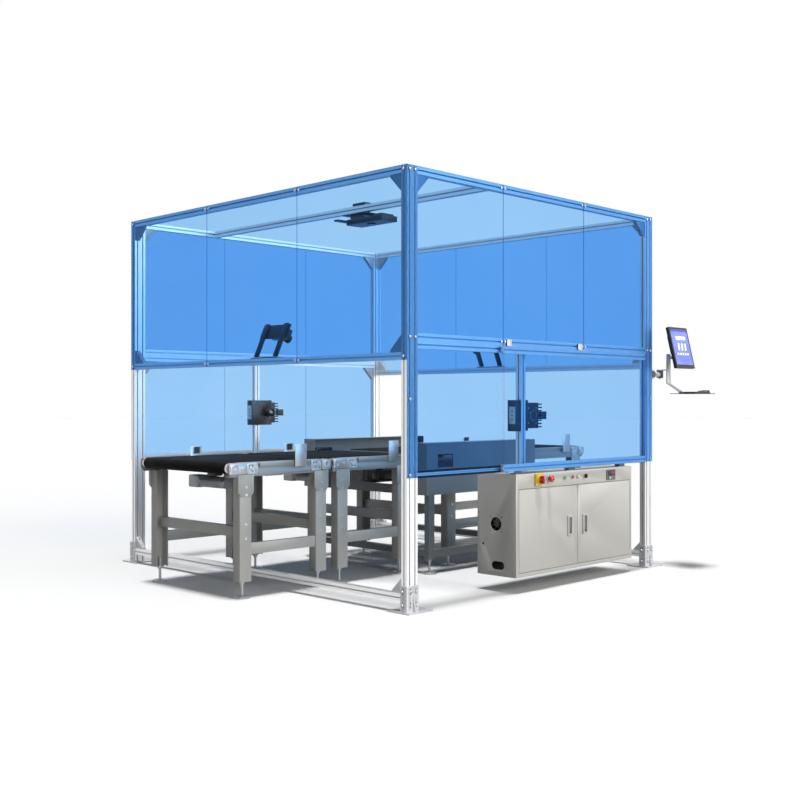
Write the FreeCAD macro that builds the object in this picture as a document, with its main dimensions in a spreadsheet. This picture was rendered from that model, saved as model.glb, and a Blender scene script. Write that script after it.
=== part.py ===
# Guarded six-side inspection cell: an aluminium-profile enclosure with tinted
# panels, four belt conveyor modules running through it along X, a scanner
# housing, cameras on all sides, a control cabinet and an operator monitor.
#
# Machine axes: +X is the flow of the conveyors, +Y runs from the operator side
# to the back, +Z is up.  Sizes below are written from the outer floor corner of
# the infeed/operator corner post; origin_x and origin_y then move every
# sub-part so that the row's origin is the centre of the overall footprint on
# the floor.
import FreeCAD, Part
import math
import os
import re

from FreeCAD import Vector as V

doc = FreeCAD.newDocument("inspection_cell")

# ----------------------------------------------------------------- dimensions
P = {
    # enclosure
    "cell_len": 2314.0, "cell_wid": 2592.0, "cell_ht": 2300.0,
    "post_wx": 80.0, "post_wy": 40.0, "rail": 40.0, "foot_plate_t": 8.0,
    "mid_end_z": 1300.0, "mid_long_z": 1360.0, "low_long_z": 690.0, "floor_rail_z": 60.0,
    "beam_x": 655.0, "column_x": 986.0, "column_len": 710.0,
    "panel_t": 5.0,
    # service door
    "door_x": 746.0, "door_len": 1446.0, "door_y": -26.0, "door_low_z": 694.0, "door_top_z": 1355.0,
    # conveyors: outer faces of the side channels, roller centre height, inner radius of the
    # belt's end bends, distance of a roller centre from the end of its module, legs
    "chan_near": 950.0, "chan_far": 1826.0, "chan_low": 672.0,
    "roller_z": 719.6, "belt_bend": 30.0, "roller_in": 35.0, "belt_low": 988.0, "belt_wide": 800.0,
    "leg_base": 92.0, "leg_len": 580.0,
    # control cabinet
    "cab_x": 850.0, "cab_len": 1176.0, "cab_y": -30.0, "cab_dep": 284.0,
    "cab_z": 90.0, "cab_ht": 585.0, "cab_t": 2.0,
    "cdoor_z": 112.0, "cdoor_ht": 474.0, "cdoor_t": 18.0,
    # monitor station
    "mon_x": 2372.0, "mon_w": 230.0, "mon_h": 279.0, "arm_z": 1266.5, "arm_dia": 32.0,
    # row origin, measured from the operator/infeed corner
    "origin_x": -1232.0, "origin_y": -1183.5,
}

sheet = doc.addObject("Spreadsheet::Sheet", "Dims")
for i, (key, val) in enumerate(P.items()):
    cell = "B%d" % (i + 1)
    sheet.set("A%d" % (i + 1), key)
    sheet.set(cell, repr(float(val)))
    sheet.setAlias(cell, key)
doc.recompute()

_names = re.compile(r"\b(" + "|".join(sorted(P, key=len, reverse=True)) + r")\b")


def num(e):
    """Value in millimetres of a number or of an expression in the sheet's aliases."""
    if not isinstance(e, str):
        return float(e)
    total = 0.0
    for sign, term in re.findall(r"([+-]?)\s*([^+-]+)", e):
        val = 1.0
        parts = re.split(r"([*/])", term.strip())
        op = "*"
        for p in parts:
            p = p.strip()
            if p in "*/":
                op = p
                continue
            x = P[p] if p in P else float(p)
            val = val * x if op == "*" else val / x
        total += -val if sign == "-" else val
    return total


def bind(obj, prop, e):
    """Set a property to a number, or bind it to the sheet."""
    if isinstance(e, str):
        obj.setExpression(prop, _names.sub(r"Dims.\1", e))
    else:
        setattr(obj, prop, e) if "." not in prop else None


def place(obj, x, y, z, axis=None, angle=0.0):
    rot = FreeCAD.Rotation(V(*axis), angle) if axis else FreeCAD.Rotation()
    obj.Placement = FreeCAD.Placement(V(num(x), num(y), num(z)), rot)
    for a, e in (("x", x), ("y", y), ("z", z)):
        if isinstance(e, str):
            obj.setExpression("Placement.Base." + a, _names.sub(r"Dims.\1", e))


_n = [0]


def uid(stem):
    _n[0] += 1
    return "%s_%d" % (stem, _n[0])


def box(x, y, z, lx, ly, lz, axis=None, angle=0.0):
    o = doc.addObject("Part::Box", uid("Box"))
    for p, e in (("Length", lx), ("Width", ly), ("Height", lz)):
        bind(o, p, e)
    place(o, x, y, z, axis, angle)
    return o


def span(x0, x1, y0, y1, z0, z1):
    """A box between two corners given as expressions."""
    def d(a, b):
        if isinstance(a, str) or isinstance(b, str):
            neg = str(a)
            flipped = "".join({"+": "-", "-": "+"}.get(c, c) for c in neg)
            if not flipped.startswith(("+", "-")):
                flipped = "-" + flipped
            return str(b) + flipped
        return b - a
    return box(x0, y0, z0, d(x0, x1), d(y0, y1), d(z0, z1))


def cyl(x, y, z, r, length, axis="z"):
    """Cylinder from (x, y, z) along +axis."""
    o = doc.addObject("Part::Cylinder", uid("Cyl"))
    bind(o, "Radius", r)
    bind(o, "Height", length)
    rot = {"z": (None, 0), "x": ((0, 1, 0), 90), "y": ((1, 0, 0), -90)}[axis]
    place(o, x, y, z, rot[0], rot[1])
    return o


def cut(base, *tools):
    o = doc.addObject("Part::Cut", uid("Cut"))
    o.Base = base
    o.Tool = tools[0] if len(tools) == 1 else fuse(*tools)
    return o


def fuse(*items):
    o = doc.addObject("Part::MultiFuse", uid("Fuse"))
    o.Shapes = list(items)
    return o


def fillet(base, radius, pick):
    """Round the edges of base for which pick(edge) is true."""
    doc.recompute()
    o = doc.addObject("Part::Fillet", uid("Fillet"))
    o.Base = base
    o.Edges = [(i + 1, radius, radius) for i, e in enumerate(base.Shape.Edges) if pick(e)]
    return o


PLANES = {"xy": "XY_Plane", "xz": "XZ_Plane", "yz": "YZ_Plane"}


def pad(loops, length, plane="xy", at=(0, 0, 0), circles=(), axis=None, angle=0.0, bound=None):
    """A PartDesign body: a sketch of closed loops padded along the plane's normal.

    loops is a list of point lists; bound gives, for a rectangular loop, the
    expressions of its width and height."""
    body = doc.addObject("PartDesign::Body", uid("Body"))
    origin = [f for f in body.Origin.OriginFeatures if f.Role == PLANES[plane]][0]
    sk = body.newObject("Sketcher::SketchObject", uid("Sketch"))
    sk.AttachmentSupport = [(origin, "")]
    sk.MapMode = "FlatFace"
    for pts in loops:
        n = len(pts)
        first = sk.GeometryCount
        geo = [Part.LineSegment(V(pts[i][0], pts[i][1], 0), V(pts[(i + 1) % n][0], pts[(i + 1) % n][1], 0))
               for i in range(n)]
        sk.addGeometry(geo, False)
        import Sketcher
        cons = [Sketcher.Constraint("Coincident", first + i, 2, first + (i + 1) % n, 1) for i in range(n)]
        if bound and n == 4:
            cons += [Sketcher.Constraint("Horizontal", first), Sketcher.Constraint("Vertical", first + 1),
                     Sketcher.Constraint("Horizontal", first + 2), Sketcher.Constraint("Vertical", first + 3)]
        sk.addConstraint(cons)
        if bound and n == 4:
            a = sk.addConstraint(Sketcher.Constraint("DistanceX", first, 1, first, 2, abs(pts[1][0] - pts[0][0])))
            b = sk.addConstraint(Sketcher.Constraint("DistanceY", first + 1, 1, first + 1, 2, abs(pts[2][1] - pts[1][1])))
            if isinstance(bound[0], str):
                sk.setExpression("Constraints[%d]" % a, _names.sub(r"Dims.\1", bound[0]))
            if isinstance(bound[1], str):
                sk.setExpression("Constraints[%d]" % b, _names.sub(r"Dims.\1", bound[1]))
    for cx, cy, r in circles:
        sk.addGeometry(Part.Circle(V(cx, cy, 0), V(0, 0, 1), r), False)
    p = body.newObject("PartDesign::Pad", uid("Pad"))
    p.Profile = sk
    bind(p, "Length", length)
    if not isinstance(length, str):
        p.Length = length
    body.Tip = p
    place(body, at[0], at[1], at[2], axis, angle)
    return body


def spin(pts, at, axis_dir="z"):
    """A PartDesign body: a half profile (radius, height) revolved about its height axis."""
    import Sketcher
    body = doc.addObject("PartDesign::Body", uid("Body"))
    origin = [f for f in body.Origin.OriginFeatures if f.Role == "XZ_Plane"][0]
    sk = body.newObject("Sketcher::SketchObject", uid("Sketch"))
    sk.AttachmentSupport = [(origin, "")]
    sk.MapMode = "FlatFace"
    n = len(pts)
    sk.addGeometry([Part.LineSegment(V(pts[i][0], pts[i][1], 0), V(pts[(i + 1) % n][0], pts[(i + 1) % n][1], 0))
                    for i in range(n)], False)
    sk.addConstraint([Sketcher.Constraint("Coincident", i, 2, (i + 1) % n, 1) for i in range(n)])
    r = body.newObject("PartDesign::Revolution", uid("Revolution"))
    r.Profile = sk
    r.ReferenceAxis = (sk, ["V_Axis"])
    r.Angle = 360
    body.Tip = r
    rot = {"z": (None, 0), "x": ((0, 1, 0), 90), "y": ((1, 0, 0), -90), "-y": ((1, 0, 0), 90)}[axis_dir]
    place(body, at[0], at[1], at[2], rot[0], rot[1])
    return body


NODES = []


def node(name, *items):
    """Gather the solids of one named sub-part and move it to the row's origin."""
    items = [i for i in items]
    top = doc.addObject("Part::Compound", name)
    top.Links = items
    top.Label = name
    place(top, "origin_x", "origin_y", 0.0)
    NODES.append(top)
    return top


# ---------------------------------------------------------------- profile bars
def slot_profile(w, h):
    """Outline of a 40-series T-slot section, one slot per 40 mm of side."""
    def notch(c):
        return [(c - 4.1, 0), (c - 4.1, 4.5), (c - 10, 4.5), (c - 10, 6.5), (c - 4.5, 12),
                (c + 4.5, 12), (c + 10, 6.5), (c + 10, 4.5), (c + 4.1, 4.5), (c + 4.1, 0)]
    pts = []
    sides = [((0, 0), (1, 0), (0, 1), w), ((w, 0), (0, 1), (-1, 0), h),
             ((w, h), (-1, 0), (0, -1), w), ((0, h), (0, -1), (1, 0), h)]
    for (ox, oy), (dx, dy), (nx, ny), ln in sides:
        pts.append((ox, oy))
        k = int(round(ln / 40.0))
        for i in range(k):
            for a, b in notch(20.0 + 40.0 * i):
                pts.append((ox + dx * a + nx * b, oy + dy * a + ny * b))
    bores = [(20.0 + 40 * i, 20.0 + 40 * j, 3.4) for i in range(int(w / 40)) for j in range(int(h / 40))]
    return pts, bores


def bar_z(x, y, z, w, h, length):
    pts, bores = slot_profile(w, h)
    return pad([pts], length, at=(x, y, z), circles=bores)


def bar_x(x, y, z, wy, hz, length):
    """Bar along +X whose section is wy across Y and hz across Z."""
    pts, bores = slot_profile(wy, hz)
    return pad([pts], length, plane="yz", at=(x, y, z), circles=bores)


def bar_y(x, y, z, wx, hz, length):
    """Bar along +Y: the section is drawn in XZ and padded towards -Y, so it is placed by its far end."""
    pts, bores = slot_profile(wx, hz)
    far = (y + "+" + length) if isinstance(y, str) and isinstance(length, str) else num(y) + num(length)
    return pad([pts], length, plane="xz", at=(x, far, z), circles=bores)


# corner posts stand on the floor plates
post_len = "cell_ht-foot_plate_t"
xr, yb = "cell_len-post_wx", "cell_wid-post_wy"
node("corner_posts",
     bar_z(0, 0, "foot_plate_t", 80, 40, post_len), bar_z(0, yb, "foot_plate_t", 80, 40, post_len),
     bar_z(xr, 0, "foot_plate_t", 80, 40, post_len), bar_z(xr, yb, "foot_plate_t", 80, 40, post_len))

long_len = "cell_len-2*post_wx"
cross_len = "cell_wid-2*post_wy"
top_z = "cell_ht-rail"
node("top_rails", bar_x("post_wx", 0, top_z, 40, 40, long_len), bar_x("post_wx", "cell_wid-rail", top_z, 40, 40, long_len),
     bar_y(0, "post_wy", top_z, 40, 40, cross_len), bar_y("cell_len-rail", "post_wy", top_z, 40, 40, cross_len))
node("mid_rails", bar_x("post_wx", 0, "mid_long_z", 40, 80, long_len), bar_x("post_wx", "cell_wid-rail", "mid_long_z", 40, 80, long_len),
     bar_y(0, "post_wy", "mid_end_z", 40, 40, cross_len), bar_y("cell_len-rail", "post_wy", "mid_end_z", 40, 40, cross_len))
node("lower_long_rails", bar_x("post_wx", 0, "low_long_z", 40, 40, long_len), bar_x("post_wx", "cell_wid-rail", "low_long_z", 40, 40, long_len))
node("floor_cross_rails", bar_y(0, "post_wy", "floor_rail_z", 40, 40, cross_len), bar_y("cell_len-rail", "post_wy", "floor_rail_z", 40, 40, cross_len))
node("camera_support_bars", bar_y("beam_x", "post_wy", top_z, 40, 40, cross_len),
     bar_z("column_x", "post_wy", "low_long_z", 40, 40, "column_len"), bar_z("column_x", "cell_wid-post_wy-rail", "low_long_z", 40, 40, "column_len"))

# ------------------------------------------------------------------- brackets
L, W, H = P["cell_len"], P["cell_wid"], P["cell_ht"]


def gusset(corner, u, v, normal, size=88.0, t=28.0):
    """Triangular cast corner bracket: legs along u and v from corner, centred on normal."""
    c = V(*corner)
    u, v, n = V(*u), V(*v), V(*normal)
    pts = [c, c + u * size, c + u * size + v * 10, c + u * 10 + v * size, c + v * size]
    o = doc.addObject("Part::Feature", uid("Gusset"))
    shift = n * (-t / 2.0)
    wire = Part.makePolygon([p + shift for p in pts] + [pts[0] + shift])
    solid = Part.Face(wire).extrude(n * t)
    # two bolt holes, one through each leg
    for along, across in ((u, v), (v, u)):
        base = c + along * 60.0 - across * 5.0
        solid = solid.cut(Part.makeCylinder(4.3, 60.0, base, across))
    o.Shape = solid
    return o


g = []
e = 0.0
zt = H - 40.0
for x0, sx in ((80.0, 1), (L - 80.0, -1)):
    for yc in (20.0, W - 20.0):
        g.append(gusset((x0, yc, zt), (sx, 0, 0), (0, 0, -1), (0, 1, 0)))
    g.append(gusset((x0, W - 20.0, 1360.0), (sx, 0, 0), (0, 0, -1), (0, 1, 0)))
for y0, sy in ((40.0, 1), (W - 40.0, -1)):
    for xc in (20.0, L - 20.0):
        g.append(gusset((xc, y0, zt), (0, sy, 0), (0, 0, -1), (1, 0, 0)))
        g.append(gusset((xc, y0, 1340.0), (0, sy, 0), (0, 0, 1), (1, 0, 0)))
        g.append(gusset((xc, y0, 100.0), (0, sy, 0), (0, 0, 1), (1, 0, 0), 76.0))
node("corner_gussets", *g)

# post feet: a floor plate, two upright plates with slots against the outer faces and a rib
feet = []
anchors = []


def slot(x, y, z, along):
    """Vertical slot 9 wide and 22 between centres, cut through along X or Y."""
    low, high = (cyl_shape(x, y, z, along), cyl_shape(x, y, z + 22.0, along))
    if along == "y":
        mid = Part.makeBox(9.0, 24.0, 22.0, V(x - 4.5, y - 12.0, z))
    else:
        mid = Part.makeBox(24.0, 9.0, 22.0, V(x - 12.0, y - 4.5, z))
    return mid.fuse([low, high])


def cyl_shape(x, y, z, along):
    if along == "y":
        return Part.makeCylinder(4.5, 24.0, V(x, y - 12.0, z), V(0, 1, 0))
    return Part.makeCylinder(4.5, 24.0, V(x - 12.0, y, z), V(1, 0, 0))


def foot(px, py, sy):
    """Foot of one post; px, py is the post's low corner, sy points out of the cell along Y."""
    yo = py if sy < 0 else py + 40.0
    base = Part.makeBox(180.0, 160.0, 8.0, V(px - 15.0, py - 30.0, 0))
    for ax in (0.0, 150.0):
        for ay in (-15.0, 115.0):
            base = base.cut(Part.makeCylinder(7.0, 8.0, V(px + ax, py + ay, 0)))
    up = Part.makeBox(80.0, 8.0, 135.0, V(px, yo - 8.0 if sy < 0 else yo, 8.0))
    side = Part.makeBox(8.0, 48.0, 135.0, V(px - 8.0, py - 8.0 if sy < 0 else py, 8.0))
    rib = Part.Face(Part.makePolygon([V(px + 36, yo + sy * 8.0, 8.0), V(px + 36, yo + sy * 29.0, 8.0),
                                      V(px + 36, yo + sy * 8.0, 98.0), V(px + 36, yo + sy * 8.0, 8.0)])).extrude(V(8, 0, 0))
    for z in (33.0, 103.0):
        for sx in (20.0, 60.0):
            up = up.cut(slot(px + sx, yo + sy * 4.0, z, "y"))
        side = side.cut(slot(px - 4.0, py + 20.0, z, "x"))
    o = doc.addObject("Part::Feature", uid("Foot"))
    o.Shape = base.fuse([up, side, rib]).removeSplitter()
    return o


for px in (0.0, L - 80.0):
    for py, sy in ((0.0, -1), (W - 40.0, 1)):
        feet.append(foot(px, py, sy))
        yo = py if sy < 0 else py + 40.0
        for z in (44.0, 114.0):
            for sx in (20.0, 60.0):
                anchors.append(cyl(px + sx, yo - 16.0 if sy < 0 else yo + 8.0, z, 7.0, 8.0, "y"))
            anchors.append(cyl(px - 16.0, py + 20.0, z, 7.0, 8.0, "x"))
node("post_feet", *feet)

# ---------------------------------------------------------------------- panels
def sheets_x(y, z0, z1, third=(0, 1, 2)):
    """Panels on a long face, each a third of its length."""
    out = []
    for i in third:
        a, b = i * L / 3.0 + (1.0 if i else 0.0), (i + 1) * L / 3.0 - (1.0 if i < 2 else 0.0)
        out.append(box(a, y, z0, b - a, "panel_t", z1 - z0))
    return out


def sheets_y(x, z0, z1):
    out = []
    for i in range(3):
        a, b = i * W / 3.0 + (1.0 if i else 0.0), (i + 1) * W / 3.0 - (1.0 if i < 2 else 0.0)
        out.append(box(x, a, z0, "panel_t", b - a, z1 - z0))
    return out


node("end_panels", *(sheets_y(-5.0, 1300.0, 2300.0) + sheets_y(L, 1300.0, 2300.0)))
node("back_panels", *sheets_x(W, 694.0, 2300.0))
front = sheets_x(-5.0, 694.0, 2300.0, (0,))
front += sheets_x(-5.0, 1398.0, 2300.0, (1, 2))
front.append(box(L - 122.0, -5.0, 694.0, 122.0, "panel_t", 702.0))
node("front_panels", *front)

# screws that hold the panels, round button heads on the outside
s = []
for xx in (20.0, 60.0, 757.0, 786.0, 1528.0, 1557.0, L - 60.0, L - 20.0):
    for zz in (1420.0, 2280.0):
        s.append(cyl(xx, -8.0, zz, 7.0, 3.0, "y"))
        s.append(cyl(xx, W + 5.0, zz, 7.0, 3.0, "y"))
for xx in (20.0, L - 20.0):
    for zz in (710.0, 1100.0):
        s.append(cyl(xx, -8.0, zz, 7.0, 3.0, "y"))
for xx in (20.0, 757.0, 786.0, 1528.0, 1557.0, L - 20.0):
    s.append(cyl(xx, W + 5.0, 710.0, 7.0, 3.0, "y"))
for yy in (20.0, 848.0, 880.0, 1712.0, 1744.0, W - 20.0):
    for zz in (1320.0, 2280.0):
        s.append(cyl(-8.0, yy, zz, 7.0, 3.0, "x"))
        s.append(cyl(L + 5.0, yy, zz, 7.0, 3.0, "x"))
node("frame_screws", *(s + anchors))

# --------------------------------------------------------------- service door
# the door is a sheet stiffened by a slotted bar along its top and its bottom
def door_bar(z):
    pts = [(0, 0), (5.9, 0), (5.9, 10), (14.1, 10), (14.1, 0), (20, 0), (20, 40), (14.1, 40), (14.1, 30),
           (5.9, 30), (5.9, 40), (0, 40), (0, 24.1), (3, 24.1), (3, 27), (7, 27), (7, 13), (3, 13), (3, 15.9), (0, 15.9)]
    return pad([pts], "door_len", plane="yz", at=("door_x", "door_y", z))


node("door_panel", box("door_x", "door_y-panel_t", "door_low_z", "door_len", "panel_t", "door_top_z-door_low_z+40"))
caps = []
for z in ("door_low_z+14", "door_top_z+14"):
    caps.append(box("door_x-4", "door_y+1", z, 4.0, 18.0, 12.0))
    caps.append(box("door_x+door_len", "door_y+1", z, 4.0, 18.0, 12.0))
node("door_rails", door_bar("door_low_z"), door_bar("door_top_z"), *caps)
# fixed guides whose tongues run in the slots along the door's top and bottom edges
guides = []
for gx in (800.0, 1480.0):
    guides.append(fuse(box(gx, -9.0, 1395.4, 40.0, 4.0, 40.0), box(gx, -25.0, 1395.4, 40.0, 20.0, 4.0),
                       box(gx + 2, -19.8, 1387.0, 36.0, 7.6, 9.0)))
    guides.append(fuse(box(gx, -25.0, 686.0, 40.0, 65.0, 4.0), box(gx, -24.0, 690.0, 40.0, 16.0, 3.6),
                       box(gx + 2, -19.8, 690.0, 36.0, 7.6, 12.0)))
node("door_guides", *guides)

# ------------------------------------------------------------------- conveyors
# (low X, high X, centre of the upstream legs, centre of the downstream legs)
MODS = [("infeed", -420.0, 324.0, -298.0, 254.0), ("transfer", 334.0, 1078.0, 426.0, 940.0),
        ("outfeed", 1246.0, 2884.0, 1400.0, 2790.0)]
YN, YF, ZR, RB, RC = (P[k] for k in ("chan_near", "chan_far", "roller_z", "belt_bend", "roller_in"))

chan, belts, beds, legs, legp, braces, flev, plates, bolts, brk, sens, motors, bars = ([] for _ in range(13))
for name, x0, x1, la, lb in MODS:
    ln = x1 - x0
    for near in (True, False):
        yo = YN if near else YF
        d = 1 if near else -1
        pts = [(0, 0), (40 * d, 0), (40 * d, 4), (4 * d, 4), (4 * d, 72), (18 * d, 72), (18 * d, 76), (0, 76)]
        if not near:
            pts = pts[::-1]
        c = pad([pts], ln - 24.0, plane="yz", at=(x0 + 12.0, "chan_near" if near else "chan_far", "chan_low"))
        h = [cyl(xx, yo - 10.0, ZR, 16.0, 20.0, "y") for xx in (x0 + RC, x1 - RC)]
        chan.append(cut(c, *h))
        # tensioner plate and bearing plate with the roller shaft running through them, six-hole plates beside them
        py = YN - 12.0 if near else YF
        for xa, wide, rc in ((x0 + 8.0, 116.0, x0 + RC), (x1 - 68.0, 64.0, x1 - RC)):
            pl = fillet(box(xa, py, 688.0, wide, 12.0, 58.0), 8.0,
                        lambda ed: abs(ed.BoundBox.YLength - 12.0) < 0.01)
            plates.append(cut(pl, cyl(rc, py - 4.0, ZR, 10.05, 20.0, "y")))
            # flanged bearing ring outside the plate
            plates.append(cut(cyl(rc, py - 5.0 if near else py + 12.0, ZR, 26.0, 5.0, "y"), cyl(rc, py - 8.0, ZR, 10.05, 30.0, "y")))
        py6 = YN - 6.0 if near else YF
        for xa in (x0 + 128.0, x1 - 148.0):
            pl = fillet(box(xa, py6, 684.0, 78.0, 6.0, 62.0), 10.0,
                        lambda ed: abs(ed.BoundBox.YLength - 6.0) < 0.01)
            holes = [cyl(xa + hx, py6 - 2.0, hz, 4.5, 12.0, "y") for hx in (17.0, 39.0, 61.0) for hz in (700.0, 730.0)]
            plates.append(cut(pl, *holes))
            for hx, hz in ((17.0, 700.0), (61.0, 730.0)):
                bolts.append(cyl(xa + hx, py6 - 5.0 if near else py6 + 6.0, hz, 7.0, 5.0, "y"))
        bx = x0 + 92.0
        bolts.append(cyl(bx, py - 6.0 if near else py + 12.0, ZR, 9.0, 6.0, "y"))
        # square guide bar along the side, upstream half
        bars.append(box(x0 + 212.0, YN - 16.0 if near else YF, 724.0, 240.0 if near else 160.0, 16.0, 22.0))
        # leg channels, open towards the belt's middle line
        for cx in (la, lb):
            lp = [(-40, 0), (40, 0), (40, 60 * d), (36, 60 * d), (36, 4 * d), (-36, 4 * d), (-36, 60 * d), (-40, 60 * d)]
            if not near:
                lp = lp[::-1]
            legs.append(pad([lp], "leg_len", at=(cx, "chan_near" if near else "chan_far", "leg_base")))
            # top plate with cut lower corners, outside the leg and the side channel
            gp = [(-54, 562 + 24), (-34, 562), (34, 562), (54, 562 + 24), (54, 683), (-54, 683)]
            legp.append(pad([gp], 6.0, plane="xz", at=(cx, YN if near else YF + 6.0, 0.0)))
            for bz, off in ((613.0, 6.0), (570.0, 6.0), (408.0, 0.0), (329.0, 0.0)):
                bolts.append(cyl(cx, YN - off - 6.0 if near else YF + off, bz, 7.5, 6.0, "y"))
            fy = YN + 32.0 if near else YF - 32.0
            flev.append(spin([(0, 0), (45, 0), (45, 7), (36, 12), (12, 16), (8, 16), (8, 78), (15, 78), (15, 91.8), (26, 92),
                              (26, 98), (8, 98), (8, 150), (0, 150)], (cx, fy, 0.0)))
        braces.append(box(la + 40.0, YN + 6.0 if near else YF - 36.0, 240.0, lb - la - 80.0, 30.0, 62.0))
    for cx in (la, lb):
        braces.append(box(cx - 20.0, YN + 60.0, 335.0, 40.0, YF - YN - 120.0, 58.0))
    # belt loop, slider bed, drive unit
    bl = ln - 2 * RC
    outer = fuse(box(x0 + RC, "belt_low", "roller_z-belt_bend-2.4", bl, "belt_wide", 2 * (RB + 2.4)),
                 cyl(x0 + RC, "belt_low", "roller_z", "belt_bend+2.4", "belt_wide", "y"),
                 cyl(x1 - RC, "belt_low", "roller_z", "belt_bend+2.4", "belt_wide", "y"))
    inner = fuse(box(x0 + RC, "belt_low-1", "roller_z-belt_bend", bl, "belt_wide+2", 2 * RB),
                 cyl(x0 + RC, "belt_low-1", "roller_z", "belt_bend", "belt_wide+2", "y"),
                 cyl(x1 - RC, "belt_low-1", "roller_z", "belt_bend", "belt_wide+2", "y"))
    belts.append(cut(outer, inner))
    beds.append(box(x0 + RC + 34.0, YN + 5.0, 748.0, bl - 68.0, YF - YN - 10.0, 1.5))
    mx = (x0 + x1) / 2.0
    gb = fillet(box(mx - 42.0, 1700.0, 560.0, 84.0, 100.0, 76.0), 8.0, lambda ed: True)
    motors += [gb, cyl(mx, 1450.0, 598.0, 36.0, 250.0, "y"), box(mx - 30.0, 1540.0, 636.0, 60.0, 80.0, 26.0),
               box(mx - 60.0, 1010.0, 664.0, 120.0, 756.0, 8.0)]
    # sensor brackets near the downstream third
    for near in (True, False):
        bxs = x1 - 285.0 if name != "outfeed" else 2604.0
        if not near:
            bxs -= 80.0
        yb0 = YN - 24.0 if near else YF + 21.0
        up = box(bxs, yb0, 716.0, 84.0, 3.0, 128.0 if near else 90.0)
        fl = box(bxs, YN - 21.0 if near else YF, 716.0, 84.0, 21.0, 3.0)
        tabs = box(bxs + 26.0, YN - 21.0 if near else YF, 716.0, 32.0, 21.0, 30.0)
        brk.append(fuse(up, fl, tabs))
        zs = 776.0 if near else 762.0
        sens.append(box(bxs + 28.0, YN - 21.0 if near else YF + 1.0, zs, 28.0, 20.0, 40.0))

node("conveyor_frames", *(chan + bars + beds))
node("conveyor_belts", *belts)
node("conveyor_legs", *legs)
node("leg_braces", *(braces + legp))
node("roller_end_plates", *plates)
node("conveyor_bolts", *bolts)
node("sensor_brackets", *brk)
node("carton_sensors", *sens)
node("gear_motors", *motors)
for name, x0, x1, la, lb in MODS:
    for end, rc in (("tail", x0 + RC), ("drive", x1 - RC)):
        hp = [(0, 0), (9.5, 0), (10, 0.5), (10, 30), (14, 30), (14, 36), (29.2, 36), (29.7, 37), (29.7, 871), (29.2, 872),
              (14, 872), (14, 878), (10, 878), (10, 907.5), (9.5, 908), (0, 908)]
        node("%s_%s_roller" % (name, end), spin(hp, (rc, 934.0, ZR), "y"))

# ------------------------------------------------------------- scanner housing
hx0, hx1, hy0, hy1, hz0, hz1 = 1000.0, 2100.0, 800.0, 1976.0, 497.0, 825.0
near_wall = cut(box(hx0, hy0, hz0, hx1 - hx0, 3.0, hz1 - hz0), box(1104.0, hy0 - 5.0, 668.0, 145.0, 13.0, 85.0))
far_wall = cut(box(hx0, hy1 - 3.0, hz0, hx1 - hx0, 3.0, hz1 - hz0), box(1104.0, hy1 - 8.0, 668.0, 145.0, 13.0, 85.0))
hs = [near_wall, far_wall]
for xa in (hx0, hx1 - 3.0):
    hs.append(box(xa, hy0 + 3.0, hz0, 3.0, 107.0, hz1 - hz0))
    hs.append(box(xa, hy1 - 110.0, hz0, 3.0, 107.0, hz1 - hz0))
    hs.append(box(xa, hy0 + 110.0, hz0, 3.0, hy1 - hy0 - 220.0, 58.0))
hs.append(box(hx0 + 3.0, hy0 + 3.0, hz1 - 3.0, hx1 - hx0 - 6.0, 107.0, 3.0))
hs.append(box(hx0 + 3.0, hy1 - 110.0, hz1 - 3.0, hx1 - hx0 - 6.0, 107.0, 3.0))
fr = []
for cx in (1030.0, 2040.0):
    for near in (True, False):
        yy = hy0 + 8.0 if near else hy1 - 48.0
        fr.append(box(cx, yy, 92.0, 50.0, 40.0, hz0 - 92.0))
    fr.append(box(cx, hy0 + 48.0, 110.0, 50.0, hy1 - hy0 - 96.0, 40.0))
for near in (True, False):
    yy = hy0 + 8.0 if near else hy1 - 48.0
    fr.append(box(1080.0, yy, 102.0, 960.0, 40.0, 50.0))
node("scanner_housing", *(hs + fr))
hf = [spin([(0, 0), (45, 0), (45, 7), (36, 12), (12, 16), (8, 16), (8, 78), (15, 78), (15, 91.9), (0, 91.9)],
           (cx + 25.0, yy, 0.0)) for cx in (1030.0, 2040.0) for yy in (hy0 + 28.0, hy1 - 28.0)]
node("levelling_feet", *(flev + hf))
node("scanner_windows", box(1096.0, hy0 + 3.0, 660.0, 161.0, 4.0, 101.0), box(1096.0, hy1 - 7.0, 660.0, 161.0, 4.0, 101.0),
     box(1086.0, 988.0, 742.0, 152.0, 800.0, 6.0))
node("scan_light_bars", box(1112.0, hy0 + 9.0, 672.0, 130.0, 14.0, 12.0), box(1112.0, hy1 - 23.0, 672.0, 130.0, 14.0, 12.0),
     box(1096.0, 1040.0, 690.0, 24.0, 700.0, 24.0), box(1204.0, 1040.0, 690.0, 24.0, 700.0, 24.0))

# --------------------------------------------------------------------- cameras
Y = (0, 1, 0)


def tilted(x, y, z, dx, dy, dz, ang, bx, by, bz):
    """Box of size dx, dy, dz whose low corner sits at (bx, by, bz) in a frame turned by ang about Y at (x, y, z)."""
    a = math.radians(ang)
    px = x + bx * math.cos(a) + bz * math.sin(a)
    pz = z - bx * math.sin(a) + bz * math.cos(a)
    return box(px, y + by, pz, dx, dy, dz, Y, ang)


def tilted_cyl(x, y, z, ang, bx, by, bz, r, length):
    """Cylinder along the tilted frame's own X."""
    a = math.radians(ang)
    px = x + bx * math.cos(a) + bz * math.sin(a)
    pz = z - bx * math.sin(a) + bz * math.cos(a)
    o = doc.addObject("Part::Cylinder", uid("Cyl"))
    o.Radius = r
    o.Height = length
    o.Placement = FreeCAD.Placement(V(px, y + by, pz), FreeCAD.Rotation(V(0, 1, 0), ang + 90.0))
    return o


cb, cc, cl, cf = [], [], [], []
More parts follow.
